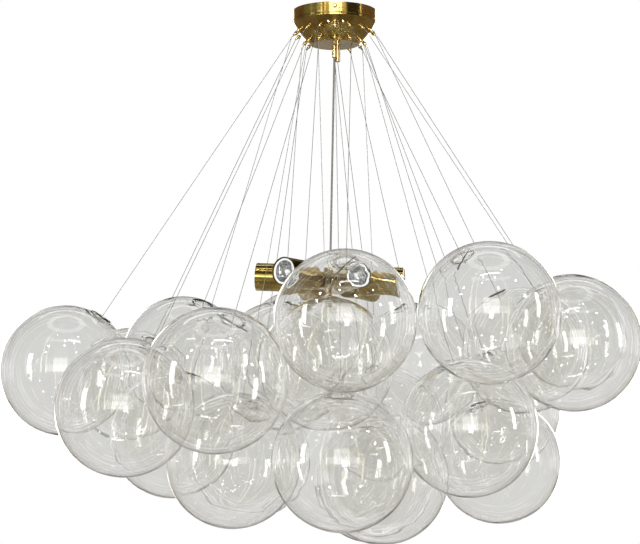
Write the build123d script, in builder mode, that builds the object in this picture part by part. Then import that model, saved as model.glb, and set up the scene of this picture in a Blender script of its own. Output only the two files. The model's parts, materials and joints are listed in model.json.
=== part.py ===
"""Cluster pendant: clear glass globes hung on steel wires round a brass unit of spot lamps.

The ceiling face is at z = 0, the canopy's axis is the Z axis and everything hangs below it. Each globe
hangs by a toggle bar that lies across the inside of its mouth. Lengths are in millimetres.
"""
import math
import os
from dataclasses import dataclass

from build123d import *

os.makedirs("parts", exist_ok=True)

# ---------------------------------------------------------------- driving dimensions
# Glass globes
GLOBE_R = 125.0
GLASS_WALL = 2.5
MOUTH_R = 20.5              # circle on which the rolled lip of the mouth runs
LIP_R = 3.4                 # the lip's own round section
GLOBE_GAP = 1.2             # least air between two globes
WIRE_GAP = 2.0              # least air between a wire and a globe
LAMP_GAP = 9.0              # least air round the lamp unit, which leaves it room to turn

# Hanging wires, toggle bars and ferrules
WIRE_R = 0.6
TOGGLE_R = 1.5
TOGGLE_LENGTH = 66.0
TOGGLE_SEAT_GAP = 0.3       # between the bar and the glass or the lip
FERRULE_R = 2.0
FERRULE_LENGTH = 8.0

# Canopy cover
CANOPY_R = 80.0
CANOPY_BAND = 24.0          # straight side
CANOPY_DEPTH = 66.0
CANOPY_BASE_R = 46.0        # flat bottom
DOME_ARC_R = 105.0          # section of the dome between side and bottom
CANOPY_WALL = 1.5
BEAD_R = 0.8                # fine line round the lower part of the side
BEAD_DROP = 20.0

# Cable grips in the dome
OUTER_RING_R = 70.5
INNER_RING_R = 54.0
GRIP_COLLAR_R = 3.0
GRIP_COLLAR = 1.2
GRIP_BALL_R = 3.75
GRIP_TIP_R = 1.9
GRIP_TIP = 4.0
GRIP_SHANK_R = 2.5
GRIP_SHANK = 9.0
GRIP_NUT_R = 4.2
GRIP_NUT = 2.4

# Central glands under the canopy
GLAND_R = 5.0
GLAND_EDGE = 0.8
CORD_GLAND_LENGTH = 25.0
WIRE_GLAND_LENGTH = 31.0
WIRE_GLAND_X = 6.0
WIRE_GLAND_Y = 10.0
GLAND_SHANK_R = 4.0
GLAND_SHANK = 10.0
GLAND_NUT_R = 5.2
GLAND_NUT = 3.0

# Mounting plate and the canopy's fasteners
PLATE_THICKNESS = 2.0
PLATE_RIM = 18.0
PLATE_RIM_GAP = 1.0         # between the plate's rim and the canopy's side
SLOT_SPACING = 100.0
SLOT_LENGTH = 14.0
SLOT_WIDTH = 5.2
ENTRY_HOLE_R = 12.0         # the house wiring comes through here
ENTRY_HOLE_Y = 34.0
CAP_BALL_R = 5.5
CAP_WASHER_R = 8.5
CAP_WASHER = 1.0
CAP_SHANK_R = 2.0
CAP_SHANK = 9.0
CAP_STATIONS = (90, 270)    # degrees round the outer ring of grips
POST_R = 3.0                # posts that hang from the plate, each with a threaded boss for a cap
BOSS_R = 4.5
BOSS_LENGTH = 7.0
SIDE_SCREW_R = 2.0
SIDE_SCREW_HEAD_R = 4.2
SIDE_SCREW_HEAD = 3.0
SIDE_SCREW_DROP = 8.0
SIDE_SCREWS = 3

# Terminal block in the canopy
BLOCK_LENGTH = 44.0
BLOCK_WIDTH = 20.0
BLOCK_HEIGHT = 16.0
BLOCK_CORNER = 2.0

# Lamp unit
HUB_X = -9.0
HUB_Z = -519.0
HUB_TILT = 2.7              # degrees, right side low
CORD_R = 2.0
HUB_R = 48.0
HUB_HEIGHT = 40.0
HUB_WALL = 2.0
HUB_EDGE = 1.5
HUB_BASE = 3.0
HUB_SPIGOT = 4.0
HUB_BOSS_R = 7.0
TUBES = 6
FIRST_TUBE = 172.0          # degrees round the hub
TUBE_R = 26.5
TUBE_WALL = 1.0
TUBE_BACK = 2.0
TUBE_START = 56.0           # from the hub's middle to the tube's closed end
TUBE_LENGTH = 85.0
NIPPLE_R = 6.0
NIPPLE_BORE_R = 4.0
NIPPLE_COLLAR_R = 10.0
NIPPLE_THREAD = 4.0         # of the nipple inside the hub and inside the tube
HUB_GLAND_R = 7.0
HUB_GLAND_HEIGHT = 15.0
HUB_GLAND_SHANK_R = 5.0
HUB_GLAND_SHANK = 5.0
HUB_BLOCK_R = 16.0
HUB_BLOCK_HEIGHT = 10.0
LEAD_R = 1.6
FINIAL_BALL_R = 4.0
FINIAL_KNOB_R = 8.0
FINIAL_KNOB_HEIGHT = 20.0
FINIAL_OVERLAP = 1.0        # of the knob into the ball
FINIAL_STEM_R = 2.5
FINIAL_STEM = 9.0           # of the stem inside the hub's base

# Spot lamps and their holders
LAMP_R = 24.9
LAMP_LENGTH = 48.0
LAMP_BASE_R = 15.5
LAMP_BASE = 14.0
LAMP_RIM = 6.0
LAMP_RIM_WIDTH = 2.2
LENS_RECESS = 0.8
LAMP_RECESS = 1.5           # from the tube's mouth to the lamp's face
LAMP_PIN_R = 2.4
LAMP_PIN = 7.0
PIN_SPACING = 10.0
LAMP_TWIST = 25.0           # degrees from locked to free
HOLDER_R = 16.5
HOLDER_DISC = 14.0
HOLDER_STEM_R = 9.0

# Fits and clearances
FIT = 0.1                   # pieces that are screwed or pushed together
SEAT = 0.3                  # pieces that rest on each other or turn
PIN_PLAY = 0.3

OUTER, INNER, CENTRE = "outer ring", "inner ring", "wire gland"


@dataclass(frozen=True)
class Hanging:
    """One globe: where it hangs, and the grip and toggle that it hangs by."""

    number: int
    place: tuple            # middle of the globe
    ring: str
    station: float          # degrees round the canopy; 270 is the front
    toggle: float           # degrees that the bar is turned about the wire
    swings: bool = False    # hangs at the outside, free to swing out


GLOBES = [
    Hanging(1, (-515, 55, -690), OUTER, 202.5, 40, swings=True),
    Hanging(2, (-375, -200, -770), OUTER, 225, 150, swings=True),
    Hanging(3, (-440, 550, -695), OUTER, 157.5, 75, swings=True),
    Hanging(4, (-310, 340, -645), OUTER, 135, 10),
    Hanging(5, (-205, -380, -730), OUTER, 247.5, 115, swings=True),
    Hanging(6, (15, -320, -625), INNER, 300, 60, swings=True),
    Hanging(7, (265, -315, -610), OUTER, 292.5, 115, swings=True),
    Hanging(8, (435, -130, -650), OUTER, 315, 20, swings=True),
    Hanging(9, (330, 235, -860), INNER, 0, 130),
    Hanging(10, (240, -160, -805), INNER, 330, 95),
    Hanging(11, (360, 485, -750), OUTER, 45, 35, swings=True),
    Hanging(12, (10, -245, -865), INNER, 270, 160),
    Hanging(13, (80, 275, -900), INNER, 90, 70),
    Hanging(14, (-175, 370, -855), INNER, 150, 25),
    Hanging(15, (-310, 145, -805), OUTER, 180, 140),
    Hanging(16, (110, 495, -780), CENTRE, 0, 85, swings=True),
    Hanging(17, (-185, -65, -855), INNER, 210, 50),
    Hanging(18, (-95, 160, -675), INNER, 180, 125),
    Hanging(19, (-5, -75, -680), INNER, 240, 15),
    Hanging(20, (-70, 405, -625), OUTER, 112.5, 100, swings=True),
    Hanging(21, (90, 20, -895), INNER, 30, 65),
    Hanging(22, (175, 270, -665), INNER, 60, 145),
    Hanging(23, (370, 110, -645), OUTER, 337.5, 30),
    Hanging(24, (490, 330, -600), OUTER, 0, 80, swings=True),
]

# ---------------------------------------------------------------- canopy section
UP = Vector(0, 0, 1)
chord = Vector(CANOPY_BASE_R - CANOPY_R, CANOPY_BAND - CANOPY_DEPTH, 0)
dome_middle = Vector((CANOPY_BASE_R + CANOPY_R) / 2, -(CANOPY_BAND + CANOPY_DEPTH) / 2, 0)
chord_inward = Vector(chord.Y, -chord.X, 0).normalized()
DOME_CENTRE = dome_middle + chord_inward * math.sqrt(DOME_ARC_R**2 - (chord.length / 2) ** 2)


def dome_point(radius):
    """Point of the dome's outer section at this radius, as (radius, height)."""
    return radius, DOME_CENTRE.Y - math.sqrt(DOME_ARC_R**2 - (radius - DOME_CENTRE.X) ** 2)


def round_axis(radius, height, degrees):
    """Point at this radius and height, turned round the canopy's axis."""
    angle = math.radians(degrees)
    return Vector(radius * math.cos(angle), radius * math.sin(angle), height)


def dome_frame(radius, degrees):
    """Where a grip stands on the dome: its point and the way it points out."""
    _, height = dome_point(radius)
    slope = Vector(radius - DOME_CENTRE.X, height - DOME_CENTRE.Y, 0).normalized()
    return round_axis(radius, height, degrees), round_axis(slope.X, slope.Y, degrees)


GRIP_REACH = GRIP_COLLAR + 2 * GRIP_BALL_R + GRIP_TIP
RING_RADIUS = {OUTER: OUTER_RING_R, INNER: INNER_RING_R}
WIRE_GLAND_TOP = Vector(WIRE_GLAND_X, WIRE_GLAND_Y, -CANOPY_DEPTH)


def pivot(globe):
    """Point where the globe's wire bends as it leaves its grip."""
    if globe.ring == CENTRE:
        return WIRE_GLAND_TOP - UP * (WIRE_GLAND_LENGTH + WIRE_R + SEAT)
    foot, out = dome_frame(RING_RADIUS[globe.ring], globe.station)
    return foot + out * (GRIP_REACH + WIRE_R + SEAT)


# ---------------------------------------------------------------- lamp unit's frame
tilt = math.radians(HUB_TILT)
HUB = Vector(HUB_X, 0, HUB_Z)
UNIT = Plane(
    origin=HUB,
    x_dir=(math.cos(tilt), 0, -math.sin(tilt)),
    z_dir=(math.sin(tilt), 0, math.cos(tilt)),
)
UNIT_SIDE = Plane(origin=HUB, x_dir=UNIT.x_dir, z_dir=-UNIT.y_dir)   # its Y runs up the unit
CORD_EXIT = Vector(0, 0, -CANOPY_DEPTH)
CORD_DOWN = (HUB - CORD_EXIT).normalized()
TUBE_END = TUBE_START + TUBE_LENGTH


def tube_direction(index):
    """The way this tube points from the hub."""
    angle = math.radians(FIRST_TUBE + index * 360 / TUBES)
    return UNIT.x_dir * math.cos(angle) + UNIT.y_dir * math.sin(angle)


# ---------------------------------------------------------------- how the globes settle
def nearest(a0, a1, b0, b1):
    """Closest points of two straight stretches, either of which may be a single point."""
    along_a, along_b, apart = a1 - a0, b1 - b0, a0 - b0
    aa, bb, ab = along_a.dot(along_a), along_b.dot(along_b), along_a.dot(along_b)
    spread = aa * bb - ab * ab
    s = 0.0
    if spread > 1e-6:
        s = min(1.0, max(0.0, (ab * along_b.dot(apart) - bb * along_a.dot(apart)) / spread))
    t = min(1.0, max(0.0, (ab * s + along_b.dot(apart)) / bb)) if bb > 1e-6 else 0.0
    if aa > 1e-6:
        s = min(1.0, max(0.0, (ab * t - along_a.dot(apart)) / aa))
    return a0 + along_a * s, b0 + along_b * t


def shortfall(a0, a1, b0, b1, room):
    """How far the second stretch must move away from the first to leave this room."""
    near_a, near_b = nearest(a0, a1, b0, b1)
    away = near_b - near_a
    if away.length >= room:
        return None
    return away.normalized() * (room - away.length)


def settle(globes):
    """Let the globes push each other, the wires and the lamp unit aside until all have their gaps."""
    tops = [pivot(globe) for globe in globes]
    middles = [Vector(*globe.place) for globe in globes]
    guards = [(HUB, HUB + tube_direction(i) * TUBE_END, TUBE_R) for i in range(TUBES)]
    guards.append((HUB, HUB, HUB_R + FIT))
    order = range(len(globes))
    for _ in range(400):
        moved = 0.0
        for i in order:
            for j in order:
                mouth = middles[i] + (tops[i] - middles[i]).normalized() * GLOBE_R
                pairs = [(tops[i], mouth, GLOBE_R + WIRE_R + WIRE_GAP)]
                if j > i:
                    pairs.append((middles[i], middles[i], 2 * GLOBE_R + GLOBE_GAP))
                for start, end, room in pairs if i != j else []:
                    push = shortfall(start, end, middles[j], middles[j], room)
                    if push:
                        middles[i] -= push * 0.51
                        middles[j] += push * 0.51
                        moved = max(moved, push.length)
            for start, end, radius in guards:
                mouth = middles[i] + (tops[i] - middles[i]).normalized() * GLOBE_R
                for a, b, own in ((middles[i], middles[i], GLOBE_R), (tops[i], mouth, WIRE_R)):
                    push = shortfall(start, end, a, b, radius + own + LAMP_GAP)
                    if push:
                        middles[i] += push * 1.05
                        moved = max(moved, push.length)
        if moved < 0.02:
            break
    return tops, middles


PIVOTS, MIDDLES = settle(GLOBES)


def wire_frame(index):
    """A globe's own frame: origin in its middle, Y up its wire, X level."""
    up = (PIVOTS[index] - MIDDLES[index]).normalized()
    side = UP.cross(up)
    side = side.normalized() if side.length > 1e-3 else Vector(1, 0, 0)
    return Plane(origin=MIDDLES[index], x_dir=side, z_dir=side.cross(up))


# ---------------------------------------------------------------- shared shapes
def turned(place, outline):
    """Turn a closed outline of (radius, height) points about the place's Y axis."""
    with BuildSketch(place) as section:
        with BuildLine():
            Polyline(*outline, close=True)
        make_face()
    revolve(section.sketch, axis=Axis(place.origin, place.y_dir))


def rod(start, end, radius, mode=Mode.ADD):
    """A round bar from one point to another."""
    with BuildSketch(Plane(origin=start, z_dir=end - start)) as section:
        Circle(radius)
    extrude(section.sketch, amount=(end - start).length, mode=mode)


def turning_place(origin, direction):
    """A plane whose Y axis runs in this direction, for an outline to be turned."""
    side = direction.cross(UP)
    side = side.normalized() if side.length > 1e-3 else Vector(1, 0, 0)
    return Plane(origin=origin, x_dir=side, z_dir=side.cross(direction))


def ball_turned(seat, out, collar_r, collar, ball_r, shank_r, shank):
    """A ball-headed piece that stands on a surface by its collar, with its shank behind the surface."""
    place = turning_place(seat, out)
    height = collar + 2 * ball_r
    with BuildSketch(place) as section:
        with Locations((0, collar + ball_r)):
            Circle(ball_r)
        Rectangle(2 * collar_r, collar, align=(Align.CENTER, Align.MIN))
        Rectangle(2 * shank_r, collar + ball_r, align=(Align.CENTER, Align.MIN))
        Rectangle(2 * shank_r, shank, align=(Align.CENTER, Align.MAX))
        Rectangle(height + shank, 2 * (height + shank), align=(Align.MAX, Align.CENTER), mode=Mode.SUBTRACT)
    revolve(section.sketch, axis=Axis(place.origin, place.y_dir))


def save(builder, name):
    """Label the finished piece and write it."""
    builder.part.label = name
    export_step(builder.part, f"parts/{name}.step")


def ring(bore, radius, low, high):
    """Outline of a plain ring or washer."""
    return [(bore, low), (radius, low), (radius, high), (bore, high)]


# ---------------------------------------------------------------- canopy
rim_r = CANOPY_R - CANOPY_WALL - PLATE_RIM_GAP
screw_angles = [270 + index * 360 / SIDE_SCREWS for index in range(SIDE_SCREWS)]
grip_frames = [dome_frame(RING_RADIUS[globe.ring], globe.station) for globe in GLOBES if globe.ring != CENTRE]
cap_frames = [dome_frame(OUTER_RING_R, station) for station in CAP_STATIONS]

with BuildPart() as mounting_plate:
    with BuildSketch(Plane.XY.offset(-PLATE_THICKNESS)):
        Circle(rim_r)
        with Locations((0, ENTRY_HOLE_Y)):
            Circle(ENTRY_HOLE_R, mode=Mode.SUBTRACT)
        with Locations((-SLOT_SPACING / 2, 0), (SLOT_SPACING / 2, 0)):
            SlotOverall(SLOT_LENGTH, SLOT_WIDTH, mode=Mode.SUBTRACT)
    extrude(amount=PLATE_THICKNESS)
    turned(Plane.XZ, ring(rim_r - PLATE_THICKNESS, rim_r, -PLATE_RIM, 0))
    for foot, out in cap_frames:
        boss = foot - out * (CANOPY_WALL + SEAT)
        middle = boss - out * BOSS_LENGTH / 2
        rod(Vector(middle.X, middle.Y, -PLATE_THICKNESS / 2), middle, POST_R)
        rod(boss, boss - out * BOSS_LENGTH, BOSS_R)
        rod(boss + out, boss - out * (CAP_SHANK + FIT), CAP_SHANK_R + FIT, mode=Mode.SUBTRACT)
    for degrees in screw_angles:
        rod(round_axis(rim_r - 2 * PLATE_THICKNESS, -SIDE_SCREW_DROP, degrees),
            round_axis(rim_r + PLATE_THICKNESS, -SIDE_SCREW_DROP, degrees),
            SIDE_SCREW_R + FIT, mode=Mode.SUBTRACT)
save(mounting_plate, "mounting_plate")

with BuildPart() as canopy_cover:
    with BuildSketch(Plane.XZ):
        with BuildLine():
            Polyline((0, -CANOPY_DEPTH), (0, 0), (CANOPY_R, 0), (CANOPY_R, -CANOPY_BAND))
            RadiusArc((CANOPY_R, -CANOPY_BAND), (CANOPY_BASE_R, -CANOPY_DEPTH), DOME_ARC_R)
            Line((CANOPY_BASE_R, -CANOPY_DEPTH), (0, -CANOPY_DEPTH))
        make_face()
    revolve(axis=Axis.Z)
    offset(amount=-CANOPY_WALL, openings=canopy_cover.faces().sort_by(Axis.Z)[-1])
    with BuildSketch(Plane.XZ):
        with Locations((CANOPY_R, -BEAD_DROP)):
            Circle(BEAD_R)
    revolve(axis=Axis.Z)
    for foot, out in grip_frames:
        rod(foot - out * GRIP_SHANK, foot + out * GRIP_COLLAR, GRIP_SHANK_R + FIT, mode=Mode.SUBTRACT)
    for foot, out in cap_frames:
        rod(foot - out * CAP_SHANK, foot + out * CAP_WASHER, CAP_SHANK_R + FIT, mode=Mode.SUBTRACT)
    for hole in (CORD_EXIT, WIRE_GLAND_TOP):
        rod(hole - UP, hole + UP * 2 * CANOPY_WALL, GLAND_SHANK_R + FIT, mode=Mode.SUBTRACT)
    for degrees in screw_angles:
        rod(round_axis(CANOPY_R - 2 * CANOPY_WALL, -SIDE_SCREW_DROP, degrees),
            round_axis(CANOPY_R + CANOPY_WALL, -SIDE_SCREW_DROP, degrees),
            SIDE_SCREW_R + FIT, mode=Mode.SUBTRACT)
save(canopy_cover, "canopy_cover")

screw_length = CANOPY_R + FIT - rim_r + PLATE_THICKNESS
with BuildPart() as canopy_screws:
    for degrees in screw_angles:
        turned(turning_place(round_axis(CANOPY_R + FIT, -SIDE_SCREW_DROP, degrees), round_axis(1, 0, degrees)), [
            (0, -screw_length), (SIDE_SCREW_R, -screw_length), (SIDE_SCREW_R, 0), (SIDE_SCREW_HEAD_R, 0),
            (SIDE_SCREW_HEAD_R, SIDE_SCREW_HEAD / 2), (SIDE_SCREW_HEAD_R / 2, SIDE_SCREW_HEAD),
            (0, SIDE_SCREW_HEAD),
        ])
save(canopy_screws, "canopy_screws")

with BuildPart() as cap_screws:
    for foot, out in cap_frames:
        ball_turned(foot + out * FIT, out, CAP_WASHER_R, CAP_WASHER, CAP_BALL_R, CAP_SHANK_R, CAP_SHANK)
save(cap_screws, "cap_screws")

with BuildPart() as cable_grips:
    for foot, out in grip_frames:
        ball_turned(foot + out * FIT, out, GRIP_COLLAR_R, GRIP_COLLAR, GRIP_BALL_R, GRIP_SHANK_R, GRIP_SHANK)
        rod(foot + out * (GRIP_COLLAR + GRIP_BALL_R), foot + out * GRIP_REACH, GRIP_TIP_R)
save(cable_grips, "cable_grips")

with BuildPart() as lock_nuts:
    for foot, out in grip_frames:
        nut_seat = foot - out * (CANOPY_WALL + SEAT + GRIP_NUT)
        turned(turning_place(nut_seat, out), ring(GRIP_SHANK_R + FIT, GRIP_NUT_R, 0, GRIP_NUT))
    for hole in (CORD_EXIT, WIRE_GLAND_TOP):
        turned(turning_place(hole + UP * (CANOPY_WALL + FIT), UP),
               ring(GLAND_SHANK_R + FIT, GLAND_NUT_R, 0, GLAND_NUT))
save(lock_nuts, "lock_nuts")

with BuildPart() as canopy_glands:
    for hole, length in ((CORD_EXIT, CORD_GLAND_LENGTH), (WIRE_GLAND_TOP, WIRE_GLAND_LENGTH)):
        turned(turning_place(hole, UP), [
            (0, -length), (GLAND_R - GLAND_EDGE, -length), (GLAND_R, GLAND_EDGE - length), (GLAND_R, -FIT),
            (GLAND_SHANK_R, -FIT), (GLAND_SHANK_R, GLAND_SHANK), (0, GLAND_SHANK),
        ])
    rod(CORD_EXIT - CORD_DOWN * 2 * GLAND_SHANK, CORD_EXIT + CORD_DOWN * 2 * CORD_GLAND_LENGTH,
        CORD_R + FIT, mode=Mode.SUBTRACT)
save(canopy_glands, "canopy_glands")

block_low = -PLATE_THICKNESS - FIT - BLOCK_HEIGHT
with BuildPart() as canopy_terminal_block:
    with BuildSketch(Plane.XY.offset(block_low)):
        Rectangle(BLOCK_LENGTH, BLOCK_WIDTH)
    extrude(amount=BLOCK_HEIGHT)
    fillet(canopy_terminal_block.edges().filter_by(Axis.Z), BLOCK_CORNER)
save(canopy_terminal_block, "canopy_terminal_block")

# ---------------------------------------------------------------- lamp unit
hub_top = HUB_HEIGHT / 2
hub_low = -hub_top
shell_low = hub_low + HUB_BASE
hub_inside_r = HUB_R - HUB_WALL
hub_block_low = -HUB_BLOCK_HEIGHT / 2
tube_ways = [tube_direction(index) for index in range(TUBES)]
lamp_back = TUBE_END - LAMP_RECESS - LAMP_LENGTH
holder_back = TUBE_START + TUBE_BACK + FIT
nipple_end = TUBE_START + TUBE_BACK + NIPPLE_THREAD
lead_end = nipple_end + SEAT
cord_top = CORD_EXIT - CORD_DOWN * (block_low - SEAT + CANOPY_DEPTH) / -CORD_DOWN.Z
cord_end = HUB - CORD_DOWN * (HUB_BLOCK_HEIGHT / 2 + SEAT)

with BuildPart() as supply_cable:
    rod(cord_top, cord_end, CORD_R)
save(supply_cable, "supply_cable")

with BuildPart() as hub_gland:
    turned(UNIT_SIDE, [
        (0, hub_top - HUB_GLAND_SHANK), (HUB_GLAND_SHANK_R, hub_top - HUB_GLAND_SHANK),
        (HUB_GLAND_SHANK_R, hub_top + FIT), (HUB_GLAND_R, hub_top + FIT),
        (HUB_GLAND_R, hub_top + HUB_GLAND_HEIGHT / 2), (HUB_GLAND_SHANK_R, hub_top + HUB_GLAND_HEIGHT),
        (0, hub_top + HUB_GLAND_HEIGHT),
    ])
    rod(HUB, HUB - CORD_DOWN * HUB_HEIGHT, CORD_R + SEAT, mode=Mode.SUBTRACT)
save(hub_gland, "hub_gland")

with BuildPart() as lamp_hub:
    turned(UNIT_SIDE, [
        (HUB_GLAND_SHANK_R + FIT, hub_top), (HUB_R - HUB_EDGE, hub_top), (HUB_R, hub_top - HUB_EDGE),
        (HUB_R, shell_low), (hub_inside_r, shell_low), (hub_inside_r, hub_top - HUB_WALL),
        (HUB_GLAND_SHANK_R + FIT, hub_top - HUB_WALL),
    ])
    for way in tube_ways:
        rod(HUB + way * (hub_inside_r - HUB_WALL), HUB + way * (HUB_R + HUB_WALL), NIPPLE_R + FIT,
            mode=Mode.SUBTRACT)
save(lamp_hub, "lamp_hub")

spigot_r = hub_inside_r - FIT
with BuildPart() as hub_base:
    turned(UNIT_SIDE, [
        (FINIAL_STEM_R + FIT, hub_low), (HUB_R - HUB_EDGE, hub_low), (HUB_R, hub_low + HUB_EDGE),
        (HUB_R, shell_low - FIT), (spigot_r, shell_low - FIT), (spigot_r, shell_low + HUB_SPIGOT),
        (spigot_r - HUB_WALL, shell_low + HUB_SPIGOT), (spigot_r - HUB_WALL, shell_low - FIT),
        (HUB_BOSS_R, shell_low - FIT), (HUB_BOSS_R, hub_block_low - FIT), (0, hub_block_low - FIT),
        (0, hub_low + FINIAL_STEM + FIT), (FINIAL_STEM_R + FIT, hub_low + FINIAL_STEM + FIT),
    ])
save(hub_base, "hub_base")

with BuildPart() as hub_finial:
    ball = hub_low - FIT - FINIAL_BALL_R
    knob = ball - FINIAL_BALL_R - FINIAL_KNOB_HEIGHT / 2 + FINIAL_OVERLAP
    with BuildSketch(UNIT_SIDE):
        with Locations((0, ball)):
            Circle(FINIAL_BALL_R)
        with Locations((0, knob)):
            Ellipse(FINIAL_KNOB_R, FINIAL_KNOB_HEIGHT / 2)
        with Locations((0, knob)):
            Rectangle(2 * FINIAL_STEM_R, hub_low + FINIAL_STEM - knob, align=(Align.CENTER, Align.MIN))
        Rectangle(HUB_R, 2 * HUB_R, align=(Align.MAX, Align.CENTER), mode=Mode.SUBTRACT)
    revolve(axis=Axis(HUB, UNIT.z_dir))
save(hub_finial, "hub_finial")

with BuildPart() as hub_terminal_block:
    with BuildSketch(UNIT.offset(hub_block_low)):
        RegularPolygon(HUB_BLOCK_R, TUBES, major_radius=False, rotation=FIRST_TUBE + 180 / TUBES)
    extrude(amount=HUB_BLOCK_HEIGHT)
save(hub_terminal_block, "hub_terminal_block")

with BuildPart() as tube_nipples:
    for way in tube_ways:
        turned(turning_place(HUB, way), [
            (NIPPLE_BORE_R, hub_inside_r - NIPPLE_THREAD), (NIPPLE_R, hub_inside_r - NIPPLE_THREAD),
            (NIPPLE_R, HUB_R + FIT), (NIPPLE_COLLAR_R, HUB_R + FIT), (NIPPLE_COLLAR_R, TUBE_START - FIT),
            (NIPPLE_R, TUBE_START - FIT), (NIPPLE_R, nipple_end), (NIPPLE_BORE_R, nipple_end),
        ])
save(tube_nipples, "tube_nipples")

tube_inside_r = TUBE_R - TUBE_WALL
with BuildPart() as lamp_tubes:
    for way in tube_ways:
        turned(turning_place(HUB, way), [
            (NIPPLE_R + FIT, TUBE_START), (TUBE_R, TUBE_START), (TUBE_R, TUBE_END), (tube_inside_r, TUBE_END),
            (tube_inside_r, TUBE_START + TUBE_BACK), (NIPPLE_R + FIT, TUBE_START + TUBE_BACK),
        ])
save(lamp_tubes, "lamp_tubes")

with BuildPart() as lamp_leads:
    for way in tube_ways:
        rod(HUB + way * (HUB_BLOCK_R + FIT), HUB + way * (lead_end - FIT), LEAD_R)
save(lamp_leads, "lamp_leads")

holder_front = lamp_back - SEAT
pin_r = PIN_SPACING / 2
slot_r = LAMP_PIN_R + PIN_PLAY
with BuildPart() as lamp_holders:
    for way in tube_ways:
        place = turning_place(HUB, way)
        turned(place, [
            (NIPPLE_R + SEAT, holder_back), (HOLDER_STEM_R, holder_back),
            (HOLDER_STEM_R, holder_front - HOLDER_DISC), (HOLDER_R, holder_front - HOLDER_DISC),
            (HOLDER_R, holder_front), (0, holder_front), (0, lead_end), (NIPPLE_R + SEAT, lead_end),
        ])
        with BuildSketch(Plane(origin=HUB + way * holder_front, x_dir=place.x_dir, z_dir=way)):
            for start in (0, 180):
                with BuildLine():
                    CenterArc((0, 0), pin_r - slot_r, start, LAMP_TWIST)
                    CenterArc((0, 0), pin_r + slot_r, start, LAMP_TWIST)
                    CenterArc(round_axis(pin_r, 0, start), slot_r, start + 180, 180)
                    CenterArc(round_axis(pin_r, 0, start + LAMP_TWIST), slot_r, start + LAMP_TWIST, 180)
                make_face()
        extrude(amount=-(LAMP_PIN + PIN_PLAY), mode=Mode.SUBTRACT)
save(lamp_holders, "lamp_holders")

for index, way in enumerate(tube_ways):
    place = turning_place(HUB + way * lamp_back, way)
    with BuildPart() as spot_lamp:
        turned(place, [
            (0, 0), (LAMP_BASE_R, 0), (LAMP_BASE_R, LAMP_BASE), (LAMP_R, LAMP_LENGTH - LAMP_RIM),
            (LAMP_R, LAMP_LENGTH), (LAMP_R - LAMP_RIM_WIDTH, LAMP_LENGTH),
            (LAMP_R - LAMP_RIM_WIDTH, LAMP_LENGTH - LENS_RECESS), (0, LAMP_LENGTH - LENS_RECESS),
        ])
        for side in (-1, 1):
            pin = place.origin + place.x_dir * side * pin_r
            rod(pin + way * LAMP_BASE / 2, pin - way * (LAMP_PIN - SEAT), LAMP_PIN_R)
    save(spot_lamp, f"spot_lamp_{index + 1}")

# ---------------------------------------------------------------- globes and their hangers
lip_height = math.sqrt((GLOBE_R - GLASS_WALL / 2) ** 2 - MOUTH_R**2)
mouth_angle = math.degrees(math.asin(MOUTH_R / (GLOBE_R - GLASS_WALL / 2)))
under_glass = math.sqrt((GLOBE_R - GLASS_WALL - TOGGLE_SEAT_GAP) ** 2 - (TOGGLE_LENGTH / 2) ** 2)
toggle_height = min(under_glass, lip_height - LIP_R - TOGGLE_SEAT_GAP) - TOGGLE_R


def hang(index):
    """Toggle bar, ferrule and wire of one globe, as three solids."""
    place = wire_frame(index)
    up = place.y_dir
    turn = math.radians(GLOBES[index].toggle)
    half_bar = (place.x_dir * math.cos(turn) + place.z_dir * math.sin(turn)) * TOGGLE_LENGTH / 2
    bar = place.origin + up * toggle_height
    ferrule_top = bar - up * (TOGGLE_R + FIT)
    wire_end = ferrule_top - up * FERRULE_LENGTH
    rod(bar - half_bar, bar + half_bar, TOGGLE_R)
    rod(ferrule_top, wire_end, FERRULE_R)
    rod(bar + up * 2 * TOGGLE_R, wire_end - up, WIRE_R + FIT, mode=Mode.SUBTRACT)
    rod(PIVOTS[index], wire_end, WIRE_R)
    with Locations(PIVOTS[index]):
        Sphere(WIRE_R)


for index, globe in enumerate(GLOBES):
    place = wire_frame(index)
    with BuildPart() as glass:
        with BuildSketch(place):
            with BuildLine():
                outside = CenterArc((0, 0), GLOBE_R, -90, 180 - mouth_angle)
                inside = CenterArc((0, 0), GLOBE_R - GLASS_WALL, -90, 180 - mouth_angle)
                Line(outside @ 0, inside @ 0)
                Line(outside @ 1, inside @ 1)
            make_face()
            with Locations((MOUTH_R, lip_height)):
                Circle(LIP_R)
        revolve(axis=Axis(place.origin, place.y_dir))
    save(glass, f"globe_{globe.number:02d}")
    if globe.swings:
        with BuildPart() as hanger:
            hang(index)
        save(hanger, f"hanger_{globe.number:02d}")

with BuildPart() as trapped_hangers:
    for index, globe in enumerate(GLOBES):
        if not globe.swings:
            hang(index)
save(trapped_hangers, "trapped_hangers")

# ---------------------------------------------------------------- places that the joints need
print("lamp unit", tuple(HUB), "axis", tuple(CORD_DOWN), "lamps at", lamp_back)
for way in tube_ways:
    print("tube", tuple(way))
for globe, top, middle in zip(GLOBES, PIVOTS, MIDDLES):
    moved = (middle - Vector(*globe.place)).length
    print("globe", globe.number, globe.swings, tuple(top), tuple(middle), "moved", round(moved, 2))
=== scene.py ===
"""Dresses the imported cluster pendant: blown glass, twisted wire, brass and lamps.

Lengths are in metres and the frame is the part's own, with its origin at the ceiling, in the canopy's middle.
"""

import json
import logging
import math
from abc import ABC, abstractmethod
from dataclasses import dataclass, field
from enum import Enum
from typing import ClassVar, Iterable, Optional, Sequence

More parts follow.
